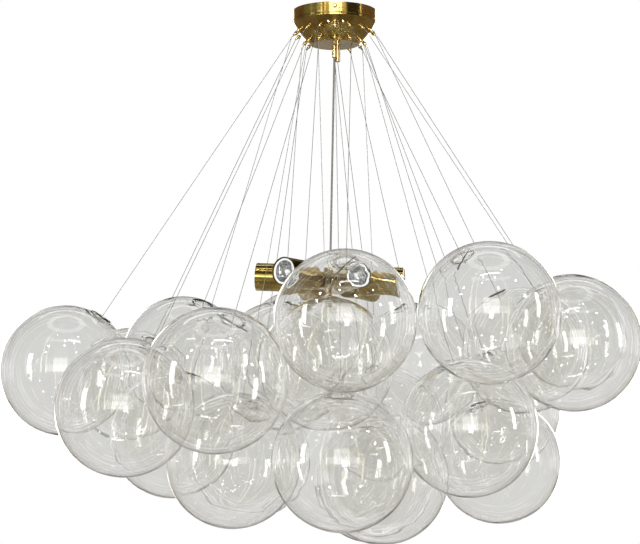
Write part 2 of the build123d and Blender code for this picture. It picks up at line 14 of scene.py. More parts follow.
import bpy
import numpy as np
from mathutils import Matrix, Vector


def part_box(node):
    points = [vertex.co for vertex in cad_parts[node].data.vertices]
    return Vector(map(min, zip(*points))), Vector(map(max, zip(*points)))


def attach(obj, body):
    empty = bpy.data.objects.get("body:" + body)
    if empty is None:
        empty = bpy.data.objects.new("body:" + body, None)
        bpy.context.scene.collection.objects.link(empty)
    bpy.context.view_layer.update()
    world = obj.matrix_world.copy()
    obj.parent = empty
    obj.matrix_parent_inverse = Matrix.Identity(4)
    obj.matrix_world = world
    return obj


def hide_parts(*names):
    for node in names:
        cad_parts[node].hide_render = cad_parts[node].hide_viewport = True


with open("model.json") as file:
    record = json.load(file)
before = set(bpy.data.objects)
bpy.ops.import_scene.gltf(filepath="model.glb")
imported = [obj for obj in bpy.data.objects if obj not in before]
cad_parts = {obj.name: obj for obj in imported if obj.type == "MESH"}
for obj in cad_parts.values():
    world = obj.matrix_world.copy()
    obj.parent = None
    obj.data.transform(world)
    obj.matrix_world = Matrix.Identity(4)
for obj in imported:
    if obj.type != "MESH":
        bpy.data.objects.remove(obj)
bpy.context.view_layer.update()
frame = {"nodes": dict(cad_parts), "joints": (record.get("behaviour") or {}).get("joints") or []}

FULL_TURN = 2 * math.pi
MM = 0.001
# A point of an outline nearer to the axis than this lies on it.
ON_AXIS = 1e-7
# A direction with a larger X than this is too close to X to be turned towards it.
CLOSE_TO_X = 0.9
LAMP_COUNT = 6
log = logging.getLogger("pendant")

Colour = tuple[float, float, float]
Factors = tuple[float, float, float]
Pair = tuple[float, float]
Outline = Sequence[Pair]
Face = tuple[int, ...]
# The points of a mesh and its faces.
Shape = tuple[np.ndarray, list[Face]]


class Slot(Enum):
    """The record's material slots."""

    BRUSHED_BRASS = "brushed_brass"
    POLISHED_BRASS = "polished_brass"
    ZINC_STEEL = "zinc_steel"
    STEEL_WIRE = "steel_wire"
    TERMINAL_PLASTIC = "terminal_plastic"
    CABLE_SHEATH = "cable_sheath"
    LEAD_SHEATH = "lead_sheath"
    CERAMIC = "ceramic"
    LAMP_GLASS = "lamp_glass"
    CLEAR_GLASS = "clear_glass"


class Shading(Enum):
    """How the faces of a mesh are shaded."""

    SMOOTH = "smooth"
    FLAT = "flat"


# ---------------------------------------------------------------- materials


class NodeGraph:
    """The node tree of a material or of the world, with short calls to add and join its nodes."""

    def __init__(self, tree: bpy.types.NodeTree) -> None:
        """Empties the tree and keeps it.

        Args:
            tree: the node tree.
        """
        self.tree = tree
        self.tree.nodes.clear()

    def add(self, kind: str, **settings: object) -> bpy.types.Node:
        """Adds a node.

        Args:
            kind: the node's type name without its ShaderNode prefix.
            **settings: properties of the node, such as operation.

        Returns:
            The new node.
        """
        node = self.tree.nodes.new("ShaderNode" + kind)
        for name, value in settings.items():
            setattr(node, name, value)
        return node

    def join(self, source: object, target: object) -> None:
        """Links an output socket, source, to an input socket, target."""
        self.tree.links.new(source, target)

    def place(self) -> object:
        """Returns the object coordinates' output, which ride with the piece."""
        return self.add("TexCoord").outputs["Object"]

    def maths(self, operation: str, first: object, second: object = 0.0,
              third: object = 0.0) -> object:
        """Adds a Math node.

        Args:
            operation: the Math node's operation.
            first: a socket or a number.
            second: a socket or a number.
            third: a socket or a number.

        Returns:
            The node's output socket.
        """
        node = self.add("Math", operation=operation)
        for socket, value in zip(node.inputs, (first, second, third)):
            if isinstance(value, (int, float)):
                socket.default_value = value
            else:
                self.join(value, socket)
        return node.outputs[0]

    def noise(self, place: object, scale: float, detail: float = 2.0,
              roughness: float = 0.5) -> object:
        """Adds a Noise Texture.

        Args:
            place: the vector socket it is read at.
            scale: its scale.
            detail: its octaves.
            roughness: the weight of the finer octaves.

        Returns:
            The factor socket.
        """
        node = self.add("TexNoise")
        node.inputs["Scale"].default_value = scale
        node.inputs["Detail"].default_value = detail
        node.inputs["Roughness"].default_value = roughness
        self.join(place, node.inputs["Vector"])
        return node.outputs["Fac"]

    def stretched(self, place: object, scale: Factors) -> object:
        """Scales a vector by axis.

        Args:
            place: the vector socket.
            scale: the three factors.

        Returns:
            The scaled vector's socket.
        """
        node = self.add("Mapping")
        node.inputs["Scale"].default_value = scale
        self.join(place, node.inputs["Vector"])
        return node.outputs["Vector"]

    def ramp(self, factor: object, stops: Sequence[tuple[float, Colour]],
             steps: str = "LINEAR") -> object:
        """Adds a Color Ramp.

        Args:
            factor: the socket that drives it.
            stops: pairs of position and colour, in order.
            steps: how the ramp goes from one stop to the next.

        Returns:
            The colour socket.
        """
        node = self.add("ValToRGB")
        node.color_ramp.interpolation = steps
        elements = node.color_ramp.elements
        while len(elements) < len(stops):
            elements.new(0.5)
        for element, (position, colour) in zip(elements, stops):
            element.position = position
            element.color = (*colour, 1.0)
        self.join(factor, node.inputs["Fac"])
        return node.outputs["Color"]

    def blend(self, kind: str, factor: object, first: object, second: object) -> object:
        """Adds a Mix node for colours.

        Args:
            kind: its blend type.
            factor: a socket or a number.
            first: the first colour's socket.
            second: the second colour's socket.

        Returns:
            The colour socket.
        """
        node = self.add("Mix", data_type="RGBA", blend_type=kind)
        if isinstance(factor, (int, float)):
            node.inputs["Factor"].default_value = factor
        else:
            self.join(factor, node.inputs["Factor"])
        colours = [socket for socket in node.inputs if socket.type == "RGBA"]
        self.join(first, colours[0])
        self.join(second, colours[1])
        return next(socket for socket in node.outputs if socket.type == "RGBA")

    def span(self, factor: object, low: float, high: float) -> object:
        """Maps a 0 to 1 socket to a range.

        Args:
            factor: the socket.
            low: the value at 0.
            high: the value at 1.

        Returns:
            The mapped socket.
        """
        return self.maths("MULTIPLY_ADD", factor, high - low, low)

    def bump(self, height: object, strength: float, distance: float) -> object:
        """Adds a Bump node.

        Args:
            height: the height socket.
            strength: the bump's strength.
            distance: the height of 1, in metres.

        Returns:
            The normal socket.
        """
        node = self.add("Bump")
        node.inputs["Strength"].default_value = strength
        node.inputs["Distance"].default_value = distance
        self.join(height, node.inputs["Height"])
        return node.outputs["Normal"]

    def finish(self, shader: object, inside: Optional[object] = None) -> None:
        """Adds the material's output.

        Args:
            shader: the shader of the surface.
            inside: the shader of what the surface encloses, if it has one.
        """
        output = self.add("OutputMaterial")
        self.join(shader, output.inputs["Surface"])
        if inside is not None:
            self.join(inside, output.inputs["Volume"])


class Finish(ABC):
    """A finish that makes its material once and shares it. Each kind has a title, the material's name."""

    made: ClassVar[dict[str, bpy.types.Material]] = {}
    title: str

    @abstractmethod
    def build(self, graph: NodeGraph) -> None:
        """Fills the node tree.

        Args:
            graph: the empty tree.
        """

    def material(self) -> bpy.types.Material:
        """Makes the finish's material at the first call.

        Returns:
            The material.
        """
        if self.title not in Finish.made:
            made = bpy.data.materials.new(self.title)
            made.use_nodes = True
            self.build(NodeGraph(made.node_tree))
            Finish.made[self.title] = made
        return Finish.made[self.title]

    def wear(self, piece: bpy.types.Object) -> bpy.types.Object:
        """Puts the finish on a piece or a CAD node.

        Args:
            piece: the object to dress.

        Returns:
            The same object.
        """
        if not piece.material_slots:
            piece.data.materials.append(self.material())
        for slot in piece.material_slots:
            slot.material = self.material()
        return piece


@dataclass(frozen=True)
class Brass(Finish):
    """Brass with the fine turned lines and the darker clouds of an aged lacquer.

    Attributes:
        title: the material's name.
        pale: the metal's colour where it is clean.
        dark: the metal's colour where the lacquer has darkened.
        roughness: the usual roughness.
        lines: how close the turned lines are, as a noise scale.
        depth: the height of the lines, in metres.
        relief: the strength of that height.
        mottle: scale, octaves, roughness and share of the small clouds.
        cloud: the same of the large clouds.
        cleared: the shares of cloud at which the metal is dark and at which it is clean.
        drawn: how much the lines are stretched round the axis.
        polish: how far the roughness goes below and above the usual one.
        grain_way: the anisotropy that the lines give.
        octaves: the octaves of the lines, and the weight of the finer ones.
    """

    title: str = "brushed_brass"
    pale: Colour = (0.57, 0.43, 0.15)
    dark: Colour = (0.37, 0.26, 0.08)
    roughness: float = 0.11
    lines: float = 900.0
    depth: float = 0.000008
    relief: float = 0.25
    mottle: tuple[float, float, float, float] = (190.0, 4.0, 0.7, 0.45)
    cloud: tuple[float, float, float, float] = (26.0, 3.0, 0.6, 0.55)
    cleared: Pair = (0.38, 0.60)
    drawn: Factors = (0.06, 0.06, 1.0)
    polish: Pair = (0.7, 1.5)
    grain_way: float = 0.35
    octaves: Pair = (3.0, 0.7)

    def build(self, graph: NodeGraph) -> None:
        """Fills the node tree; see the base class."""
        place = graph.place()
        *small, small_share = self.mottle
        *large, large_share = self.cloud
        clouds = graph.maths("MULTIPLY_ADD", graph.noise(place, *small), small_share,
                             graph.maths("MULTIPLY", graph.noise(place, *large), large_share))
        turned = graph.noise(graph.stretched(place, self.drawn), self.lines, *self.octaves)
        shader = graph.add("BsdfPrincipled")
        shader.inputs["Metallic"].default_value = 1.0
        shader.inputs["Anisotropic"].default_value = self.grain_way
        colour = graph.ramp(clouds, list(zip(self.cleared, (self.dark, self.pale))))
        graph.join(colour, shader.inputs["Base Color"])
        low, high = self.polish
        shade = graph.span(turned, self.roughness * low, self.roughness * high)
        graph.join(shade, shader.inputs["Roughness"])
        graph.join(graph.bump(turned, self.relief, self.depth), shader.inputs["Normal"])
        graph.finish(shader.outputs["BSDF"])


@dataclass(frozen=True)
class Metal(Finish):
    """A grey metal with fine drawn or plated grain.

    Attributes:
        title: the material's name.
        pale: the lighter colour.
        dark: the darker colour.
        roughness: the usual roughness.
        grain: the noise scale of its grain.
        cleared: the shares of grain at which the metal is dark and at which it is light.
        polish: how far the roughness goes below and above the usual one.
        relief: the strength of the grain's height.
        depth: the height of the grain, in metres.
        octaves: the octaves of the grain.
    """

    title: str
    pale: Colour
    dark: Colour
    roughness: float = 0.35
    grain: float = 600.0
    cleared: Pair = (0.35, 0.65)
    polish: Pair = (0.8, 1.3)
    relief: float = 0.15
    depth: float = 0.00005
    octaves: float = 3.0

    def build(self, graph: NodeGraph) -> None:
        """Fills the node tree; see the base class."""
        grain = graph.noise(graph.place(), self.grain, self.octaves)
        shader = graph.add("BsdfPrincipled")
        shader.inputs["Metallic"].default_value = 1.0
        colour = graph.ramp(grain, list(zip(self.cleared, (self.dark, self.pale))))
        graph.join(colour, shader.inputs["Base Color"])
        low, high = self.polish
        graph.join(graph.span(grain, self.roughness * low, self.roughness * high),
                   shader.inputs["Roughness"])
        graph.join(graph.bump(grain, self.relief, self.depth), shader.inputs["Normal"])
        graph.finish(shader.outputs["BSDF"])


@dataclass(frozen=True)
class Moulded(Finish):
    """Plastic, rubber or ceramic with a fine skin.

    Attributes:
        title: the material's name.
        pale: the lighter colour.
        dark: the darker colour.
        roughness: the usual roughness.
        gloss: the specular level.
        grain: the noise scale of the skin.
        cleared: the shares of skin at which the colour is dark and at which it is light.
        polish: how far the roughness goes below and above the usual one.
        relief: the strength of the skin's height.
        depth: the height of the skin, in metres.
        octaves: the octaves of the skin.
    """

    title: str
    pale: Colour
    dark: Colour
    roughness: float = 0.45
    gloss: float = 0.5
    grain: float = 400.0
    cleared: Pair = (0.3, 0.7)
    polish: Pair = (0.85, 1.2)
    relief: float = 0.2
    depth: float = 0.00006
    octaves: float = 3.0

    def build(self, graph: NodeGraph) -> None:
        """Fills the node tree; see the base class."""
        skin = graph.noise(graph.place(), self.grain, self.octaves)
        shader = graph.add("BsdfPrincipled")
        shader.inputs["Specular IOR Level"].default_value = self.gloss
        colour = graph.ramp(skin, list(zip(self.cleared, (self.dark, self.pale))))
        graph.join(colour, shader.inputs["Base Color"])
        low, high = self.polish
        graph.join(graph.span(skin, self.roughness * low, self.roughness * high),
                   shader.inputs["Roughness"])
        graph.join(graph.bump(skin, self.relief, self.depth), shader.inputs["Normal"])
        graph.finish(shader.outputs["BSDF"])


@dataclass(frozen=True)
class ClearGlass(Finish):
    """Clear glass with the slow waves of blowing.

    Attributes:
        title: the material's name.
        tint: the glass's colour.
        index: the index of refraction.
        wave: the noise scale of the waves.
        depth: the height of the waves, in metres.
        body: the colour that thick glass takes.
        strength: how fast it takes it, per metre.
        relief: the strength of the waves' height.
        shadow: the light that a shadow ray keeps at each side of the glass.
        octaves: the octaves of the waves, and the weight of the finer ones.
    """

    title: str = "clear_glass"
    tint: Colour = (0.999, 0.999, 0.997)
    index: float = 1.52
    wave: float = 14.0
    depth: float = 0.0006
    body: Colour = (0.50, 0.50, 0.41)
    strength: float = 3.5
    relief: float = 0.5
    shadow: Colour = (0.97, 0.975, 0.968)
    octaves: Pair = (3.0, 0.45)

    def build(self, graph: NodeGraph) -> None:
        """Fills the node tree; see the base class."""
        waves = graph.noise(graph.place(), self.wave, *self.octaves)
        shader = graph.add("BsdfGlass")
        shader.inputs["Color"].default_value = (*self.tint, 1.0)
        shader.inputs["Roughness"].default_value = 0.0
        shader.inputs["IOR"].default_value = self.index
        graph.join(graph.bump(waves, self.relief, self.depth), shader.inputs["Normal"])
        clear = graph.add("BsdfTransparent")
        clear.inputs["Color"].default_value = (*self.shadow, 1.0)
        mix = graph.add("MixShader")
        graph.join(graph.add("LightPath").outputs["Is Shadow Ray"], mix.inputs["Fac"])
        graph.join(shader.outputs["BSDF"], mix.inputs[1])
        graph.join(clear.outputs["BSDF"], mix.inputs[2])
        inside = graph.add("VolumeAbsorption")
        inside.inputs["Color"].default_value = (*self.body, 1.0)
        inside.inputs["Density"].default_value = self.strength
        graph.finish(mix.outputs["Shader"], inside.outputs["Volume"])


BRUSHED_BRASS = Brass()
POLISHED_BRASS = Brass("polished_brass", (0.76, 0.61, 0.33), (0.55, 0.40, 0.18), 0.12, 500.0)
ZINC = Metal("zinc_steel", (0.66, 0.67, 0.66), (0.45, 0.46, 0.47), 0.34, 260.0)
WIRE_STEEL = Metal("steel_wire", (0.34, 0.34, 0.33), (0.16, 0.16, 0.16), 0.38, 900.0)
SILVERING = Metal("lamp_silvering", (0.88, 0.89, 0.92), (0.55, 0.57, 0.62), 0.08, 60.0)
TERMINAL = Moulded("terminal_plastic", (0.86, 0.85, 0.80), (0.74, 0.73, 0.68))
SHEATH = Moulded("cable_sheath", (0.20, 0.19, 0.17), (0.12, 0.11, 0.10), 0.4)
LEAD = Moulded("lead_sheath", (0.78, 0.77, 0.72), (0.66, 0.65, 0.60), 0.5)
CERAMIC = Moulded("ceramic", (0.90, 0.89, 0.85), (0.80, 0.79, 0.75), 0.22, 0.6, 150.0)
# The lamp body's near-black colour is painted shade: its rim stands where the gap in the tube's mouth lies in
# shade.
LAMP_BODY_AND_PAINTED_SHADE = Moulded("lamp_body_painted_shade", (0.055, 0.055, 0.06), (0.02, 0.02, 0.022), 0.3, 0.5, 200.0)
LAMP_RING = Moulded("lamp_ring", (0.93, 0.93, 0.92), (0.84, 0.84, 0.83), 0.3, 0.5, 200.0)
GLOBE_GLASS = ClearGlass()
LENS_GLASS = ClearGlass("lamp_glass", (0.98, 0.985, 0.99), 1.5, 60.0, 0.0001, (0.7, 0.75, 0.8), 10.0)


# ---------------------------------------------------------------- meshes


def new_piece(name: str, mesh: bpy.types.Mesh) -> bpy.types.Object:
    """Links a mesh to the scene as a new object.

    Args:
        name: the piece's name.
        mesh: its mesh.

    Returns:
        The object.
    """
    piece = bpy.data.objects.new(name, mesh)
    bpy.context.scene.collection.objects.link(piece)
    return piece


def mesh_of(name: str, points: np.ndarray, faces: list[Face],
            shading: Shading = Shading.SMOOTH) -> bpy.types.Mesh:
    """Makes a mesh from points and faces.

    Args:
        name: the mesh's name.
        points: an array of points.
        faces: tuples of point indices.
        shading: smooth or flat.

    Returns:
        The mesh.
    """
    mesh = bpy.data.meshes.new(name)
    mesh.from_pydata([tuple(point) for point in points], [], faces)
    mesh.polygons.foreach_set("use_smooth", [shading is Shading.SMOOTH] * len(mesh.polygons))
    mesh.validate()
    mesh.update()
    return mesh


def lathe(outline: Outline, segments: int) -> Shape:
    """Turns an outline about Z.

    Args:
        outline: pairs of radius and height, from end to end; a radius of 0 at an end closes it there.
        segments: the number of steps round.

    Returns:
        The points and the faces.
    """
    points: list[tuple[float, float, float]] = []
    rings: list[list[int]] = []
    for radius, height in outline:
        if radius < ON_AXIS:
            rings.append([len(points)] * segments)
            points.append((0.0, 0.0, height))
            continue
        rings.append(list(range(len(points), len(points) + segments)))
        for step in range(segments):
            angle = FULL_TURN * step / segments
            points.append((radius * math.cos(angle), radius * math.sin(angle), height))
    faces: list[Face] = []
    for low, high in zip(rings, rings[1:]):
        for step in range(segments):
            after = (step + 1) % segments
            corners = (low[step], low[after], high[after], high[step])
            faces.append(tuple(dict.fromkeys(corners)))
    return np.array(points), faces


def placed(points: np.ndarray, origin: Vector, up: Vector,
           ahead: Optional[Vector] = None) -> np.ndarray:
    """Moves points made about Z to a place in the row frame.

    Args:
        points: the points.
        origin: where their origin goes.
        up: where their Z points.
        ahead: a direction that their X turns towards, if it matters.

    Returns:
        The moved points.
    """
    z = up.normalized()
    x = (ahead or Vector((1, 0, 0) if abs(z.x) < CLOSE_TO_X else (0, 1, 0))).copy()
    x = (x - x.dot(z) * z).normalized()
    turn = np.array([x, z.cross(x), z]).T
    return points @ turn.T + np.array(origin)


def arc(centre: Pair, radius: float, start: float, end: float, steps: int) -> list[Pair]:
    """Returns points on a circle.

    Args:
        centre: the circle's middle.
        radius: its radius.
        start: the first angle, in degrees.
        end: the last angle, in degrees.
        steps: the number of steps between them.

    Returns:
        The points, both ends included.
    """
    angles = np.radians(np.linspace(start, end, steps + 1))
    return [(centre[0] + radius * math.cos(a), centre[1] + radius * math.sin(a)) for a in angles]


def joined(parts: Iterable[Shape]) -> Shape:
    """Puts several sets of points and faces into one.

    Args:
        parts: pairs of points and faces.

    Returns:
        All their points and faces.
    """
    points: list[np.ndarray] = []
    faces: list[Face] = []
    count = 0
    for part_points, part_faces in parts:
        points.append(part_points)
        faces.extend(tuple(index + count for index in face) for face in part_faces)
        count += len(part_points)
    return np.vstack(points), faces


def node_points(node: str) -> np.ndarray:
    """Reads the vertices of a CAD node.

    Args:
        node: the node's name.

    Returns:
        The vertices, in the row frame.
    """
    mesh = frame["nodes"][node].data
    points = np.zeros(len(mesh.vertices) * 3, np.float32)
    mesh.vertices.foreach_get("co", points)
    return points.reshape(-1, 3).astype(float)


def along(points: np.ndarray, origin: Vector, axis: Vector) -> tuple[np.ndarray, np.ndarray]:
    """Measures points against an axis.

    Args:
        points: the points.
        origin: a point of the axis.
        axis: its direction, of length 1.

    Returns:
        How far each lies along the axis, and its offset from it.
    """
    offsets = points - np.array(origin)
    heights = offsets @ np.array(axis)
    return heights, offsets - heights[:, None] * np.array(axis)


# ---------------------------------------------------------------- the glass


# The slow waves of the glass: the pitch and the weight of each.
BLOWN_WAVES = ((4.0, 0.5), (7.0, 0.3), (12.0, 0.2))
# How far the waves are shifted from one globe to the next, and from one wave to the next.
GLOBE_PHASE = 1.7
WAVE_PHASE = 2.1
# The waves by height: their pitch, phase and weight, each against that of the waves across.
UP_WAVES = (0.8, 1.3, 0.6)
# The rings of blowing: how fast they fade from the mouth and from the bottom, in radians, and their pitch.
MOUTH_RINGS = (0.2, 48.0)
BOTTOM_RINGS = (0.5, 26.0)
BOTTOM_SHARE = 0.5
# The faint rings between: the weight and the pitch of each, and which way it is shifted.
FAINT_RINGS = ((0.25, 15.0, 1), (0.12, 33.0, -1))


@dataclass
class Globe:
    """One blown globe, with its rolled lip, and the way it hangs.

    Attributes:
        number: the globe's number.
        joint: the record's joint that moves it.
        wall: the glass's thickness.
        mouth: the radius of the circle that the lip runs on.
        lip: the lip's own radius.
        segments: steps round the globe.
        rings: steps from the bottom to the shoulder on each side of the glass.
        shoulder: how far the finer steps reach from the mouth's axis, in degrees.
        shoulder_rings: steps from the shoulder to the mouth.
        uneven: how much the inner side's depth wanders.
        outer_share: how much of that the outer side takes.
        turned: the height of the rings that the blowing leaves round the mouth and the bottom.
        bead_from: where the lip's round starts, in degrees from the glass.
        bead_to: where it ends.
        bead_steps: steps round the lip.
        lip_clear: how far from the mouth's axis the waves start, in lip radii past the mouth.
        fade_in: the angle in which they reach their full height.
        radius: the globe's radius, read from its node.
        middle: its centre.
        up: the way from there to its mouth.
    """

    number: int
    joint: dict
    wall: float = 2.5 * MM
    mouth: float = 20.5 * MM
    lip: float = 3.4 * MM
    segments: int = 96
    rings: int = 52
    shoulder: float = 34.0
    shoulder_rings: int = 28
    uneven: float = 0.35 * MM
    outer_share: float = 0.3
    turned: float = 0.10 * MM
    bead_from: float = 25.0
    bead_to: float = -245.0
    bead_steps: int = 18
    lip_clear: float = 1.2
    fade_in: float = 0.03
    radius: float = field(init=False)
    middle: Vector = field(init=False)
    up: Vector = field(init=False)

    def __post_init__(self) -> None:
        """Reads the globe's place from the frame."""
        low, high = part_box(self.node)
        self.radius = (high.x - low.x) / 2
        self.middle = Vector(((low.x + high.x) / 2, (low.y + high.y) / 2, low.z + self.radius))
        if self.turns:
            self.up = Vector(self.joint["axis"]).normalized()
        else:
            self.up = (Vector(self.joint["pos_m"]) - self.middle).normalized()

    @property
    def node(self) -> str:
        """The CAD node of the globe."""
        return f"globe_{self.number:02d}"

    @property
    def turns(self) -> bool:
        """Whether the globe only turns on its toggle, trapped by its neighbours."""
        return bool(self.joint.get("continuous"))

    def outline(self) -> list[Pair]:
        """Makes the section of the glass.

        Returns:
            Its points, up the outside, round the lip and down the inside.
        """
        middle_r = self.radius - self.wall / 2
        lip_height = math.sqrt(middle_r**2 - self.mouth**2)
        opening = math.degrees(math.asin(self.mouth / middle_r)) + math.degrees(self.lip / middle_r)
        shoulder, edge = 90 - self.shoulder, 90 - opening
        sides = []
        for radius in (self.radius, self.radius - self.wall):
            below = arc((0, 0), radius, -90, shoulder, self.rings)[1:]
            sides.append(below + arc((0, 0), radius, shoulder, edge, self.shoulder_rings)[1:])
        outside, inside = sides
        bead = arc((self.mouth, lip_height), self.lip, edge + self.bead_from, edge + self.bead_to,
                   self.bead_steps)
        bottom, floor = (0.0, -self.radius), (0.0, self.wall - self.radius)
        return [bottom] + outside + bead + inside[::-1] + [floor]

    def wander(self, points: np.ndarray) -> np.ndarray:
        """Gives the glass the slow unevenness of blowing.

        Args:
            points: the globe's points about its own middle.

        Returns:
            The points, drawn in a little where the glass is thicker.
        """
        far = np.linalg.norm(points, axis=1)
        ways = points / far[:, None]
        phase = self.number * GLOBE_PHASE
        up_pitch, up_phase, up_weight = UP_WAVES
        waves = np.zeros(len(points))
        for count, (pitch, weight) in enumerate(BLOWN_WAVES):
            turn = phase + WAVE_PHASE * count
            waves += weight * np.sin(pitch * ways[:, 0] + turn) * np.cos(pitch * ways[:, 1] - turn)
            waves += weight * np.sin(pitch * ways[:, 2] * up_pitch + up_phase * turn) * up_weight
        inner = far < self.radius - self.wall / 2
        edge = math.asin(self.mouth / self.radius) + self.lip_clear * self.lip / self.radius
        down = np.arccos(np.clip(ways[:, 2], -1.0, 1.0))
        clear_of_lip = np.clip((down - edge) / self.fade_in, 0.0, 1.0)
        rings = self.turned_rings(down - edge, phase)
        shift = np.where(inner, self.uneven, self.outer_share * self.uneven) * (waves - 1.0) / 2
        shift += np.where(inner, -1.0, 1.0) * self.turned * (rings - 1.0)
        return points + ways * (shift * clear_of_lip)[:, None]

    def turned_rings(self, down: np.ndarray, phase: float) -> np.ndarray:
        """Shapes the rings of blowing.

        Args:
            down: the angle from the mouth's edge, in radians.
            phase: where the globe's own waves start.

        Returns:
            Waves between -1 and 1: close and strong at the mouth, wider at the bottom, faint between.
        """
        up = math.pi - down
        mouth_fade, mouth_pitch = MOUTH_RINGS
        bottom_fade, bottom_pitch = BOTTOM_RINGS
        rings = np.exp(-down / mouth_fade) * np.sin(mouth_pitch * down)
        rings += BOTTOM_SHARE * np.exp(-up / bottom_fade) * np.sin(bottom_pitch * up + phase)
        for weight, pitch, side in FAINT_RINGS:
            rings += weight * np.sin(pitch * down + side * phase)
        return np.clip(rings, -1.0, 1.0)

    def dress(self) -> bpy.types.Object:
        """Builds the globe and puts it on its body.

        Returns:
            The piece.
        """
        name = "blown_" + self.node
        points, faces = lathe(self.outline(), self.segments)
        mesh = mesh_of(name, placed(self.wander(points), self.middle, self.up), faces)
        piece = GLOBE_GLASS.wear(new_piece(name, mesh))
        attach(piece, self.joint["child"])
        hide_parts(self.node)
        return piece


# The ferrule's section, from its foot to its top: radius and height as shares of its own. The two narrow
# stretches are the marks of the crimping tool.
CRIMPED = (
    (0.0, 0.0), (0.85, 0.0), (1.0, 0.06), (1.0, 0.22), (0.78, 0.3), (0.78, 0.4), (1.0, 0.48),
    (1.0, 0.56), (0.78, 0.64), (0.78, 0.74), (1.0, 0.82), (1.0, 0.95), (0.85, 1.0), (0.0, 1.0),
)


@dataclass
class Hanger:
    """The wire, the crimped ferrule and the toggle bar that one globe hangs from.

    Attributes:
        globe: the globe.
        wire: the wire's radius.
        strands: the outer strands of the wire.
        lay: the length in which a strand goes once round.
        step: the length of wire between two rings of points.
        core: the share of the radius that the strands don't shape.
        bar: the toggle bar's radius.
        bar_edge: the rounding of its ends.
        waist: the radius of its waist, where the wire goes through, as a share of its own.
        waist_half: half the waist's length, in bar radii.
        waist_end: where the bar has its full radius again, in bar radii from its middle.
        ferrule: the ferrule's radius.
        sides: steps round the bar and the ferrule.
        slack: how far from the ferrule's radius its points may lie in the CAD mesh.
        tip_reach: how far from the axis the bar's tips lie at least, in bar radii.
        off_bar: how far from the bar's height the ferrule's points lie at least, in bar radii.
        off_wire: how far from the axis they lie at least, in wire radii.
        top: where the wire leaves its grip.
        foot: where it ends, at the ferrule's foot.
        bar_middle: the middle of the toggle bar.
        bar_way: the bar's direction.
        bar_length: the bar's length.
        ferrule_low: the height of the ferrule's foot above the globe's middle.
        ferrule_high: the height of its top.
    """

    globe: Globe
    wire: float = 0.6 * MM
    strands: int = 6
    lay: float = 9.0 * MM
    step: float = 1.5 * MM
    core: float = 0.93
    bar: float = 1.5 * MM
    bar_edge: float = 0.5 * MM
    waist: float = 0.8
    waist_half: float = 1.7
    waist_end: float = 2.5
    ferrule: float = 2.0 * MM
    sides: int = 20
    slack: float = 0.5 * MM
    tip_reach: float = 8.0
    off_bar: float = 2.0
    off_wire: float = 1.6
    top: Vector = field(init=False)
    foot: Vector = field(init=False)
    bar_middle: Vector = field(init=False)
    bar_way: Vector = field(init=False)
    bar_length: float = field(init=False)
    ferrule_low: float = field(init=False)
    ferrule_high: float = field(init=False)

    def __post_init__(self) -> None:
        """Measures the CAD hanger about the globe's own axis.

        The bar's tips are its points far from the axis, and the ferrule's points lie near its radius, off the
        bar and outside the wire.
        """
        middle, up = self.globe.middle, self.globe.up
        heights, offsets = along(node_points(self.node), middle, up)
        away = np.linalg.norm(offsets, axis=1)
        inside = (heights > 0) & (heights < self.globe.radius) & (away < self.globe.radius / 2)
        self.top = middle + up * float(heights[away < 2 * self.wire].max())
        tips = inside & (away > self.tip_reach * self.bar)
        self.bar_way = Vector(offsets[tips][0]).normalized()
        reach = offsets[tips] @ np.array(self.bar_way)
        self.bar_length = float(reach.max() - reach.min())
        level = float(heights[tips].mean())
        self.bar_middle = middle + up * level
        crimp = inside & (away < self.ferrule + self.slack) & (away > self.off_wire * self.wire)
        crimp &= np.abs(heights - level) > self.off_bar * self.bar
        self.ferrule_low = float(heights[crimp].min())
        self.ferrule_high = float(heights[crimp].max())
        self.foot = middle + up * self.ferrule_low

    @property
    def node(self) -> str:
        """The CAD node that holds this hanger."""
        return "trapped_hangers" if self.globe.turns else f"hanger_{self.globe.number:02d}"

    @property
    def body(self) -> str:
        """The body that the hanger moves with."""
        return "root" if self.globe.turns else self.globe.joint["child"]

    def wire_mesh(self) -> bpy.types.Mesh:
        """Makes the twisted wire, a lobed section that turns along its length.

        Returns:
            Its mesh.
        """
        length = (self.top - self.foot).length
        rings = max(2, round(length / self.step))
        around = 2 * self.strands
        turns = np.linspace(0, FULL_TURN * length / self.lay, rings + 1)
        spokes = FULL_TURN * np.arange(around) / around
        reach = self.wire * (self.core + (1 - self.core) * np.cos(self.strands * spokes))
        angle = turns[:, None] + spokes[None, :]
        heights = np.repeat(np.linspace(0, length, rings + 1), around)
        points = np.stack([(reach * np.cos(angle)).ravel(), (reach * np.sin(angle)).ravel(), heights],
                          axis=1)
        faces = [
            (ring * around + spoke, ring * around + (spoke + 1) % around,
             (ring + 1) * around + (spoke + 1) % around, (ring + 1) * around + spoke)
            for ring in range(rings) for spoke in range(around)
        ]
        faces.append(tuple(range(around - 1, -1, -1)))
        faces.append(tuple(rings * around + spoke for spoke in range(around)))
        name = f"hanging_wire_{self.globe.number:02d}"
        return mesh_of(name, placed(points, self.foot, self.globe.up), faces)

    def toggle_mesh(self) -> bpy.types.Mesh:
        """Makes the toggle bar with its rounded ends, and the crimped ferrule.

        Returns:
            Their mesh.
        """
        half, edge, thick = self.bar_length / 2, self.bar_edge, self.bar
        right = [(self.waist * thick, self.waist_half * thick), (thick, self.waist_end * thick),
                 (thick, half - edge), (thick - edge, half), (0.0, half)]
        left = [(r, -h) for r, h in reversed(right)]
        bar_points, bar_faces = lathe(left + right, self.sides)
        long = self.ferrule_high - self.ferrule_low
        crimp = [(r * self.ferrule, h * long) for r, h in CRIMPED]
        ferrule_points, ferrule_faces = lathe(crimp, self.sides)
        placed_bar = placed(bar_points, self.bar_middle, self.bar_way)
        placed_ferrule = placed(ferrule_points, self.foot, self.globe.up)
        points, faces = joined([(placed_bar, bar_faces), (placed_ferrule, ferrule_faces)])
        return mesh_of(f"toggle_bar_{self.globe.number:02d}", points, faces)

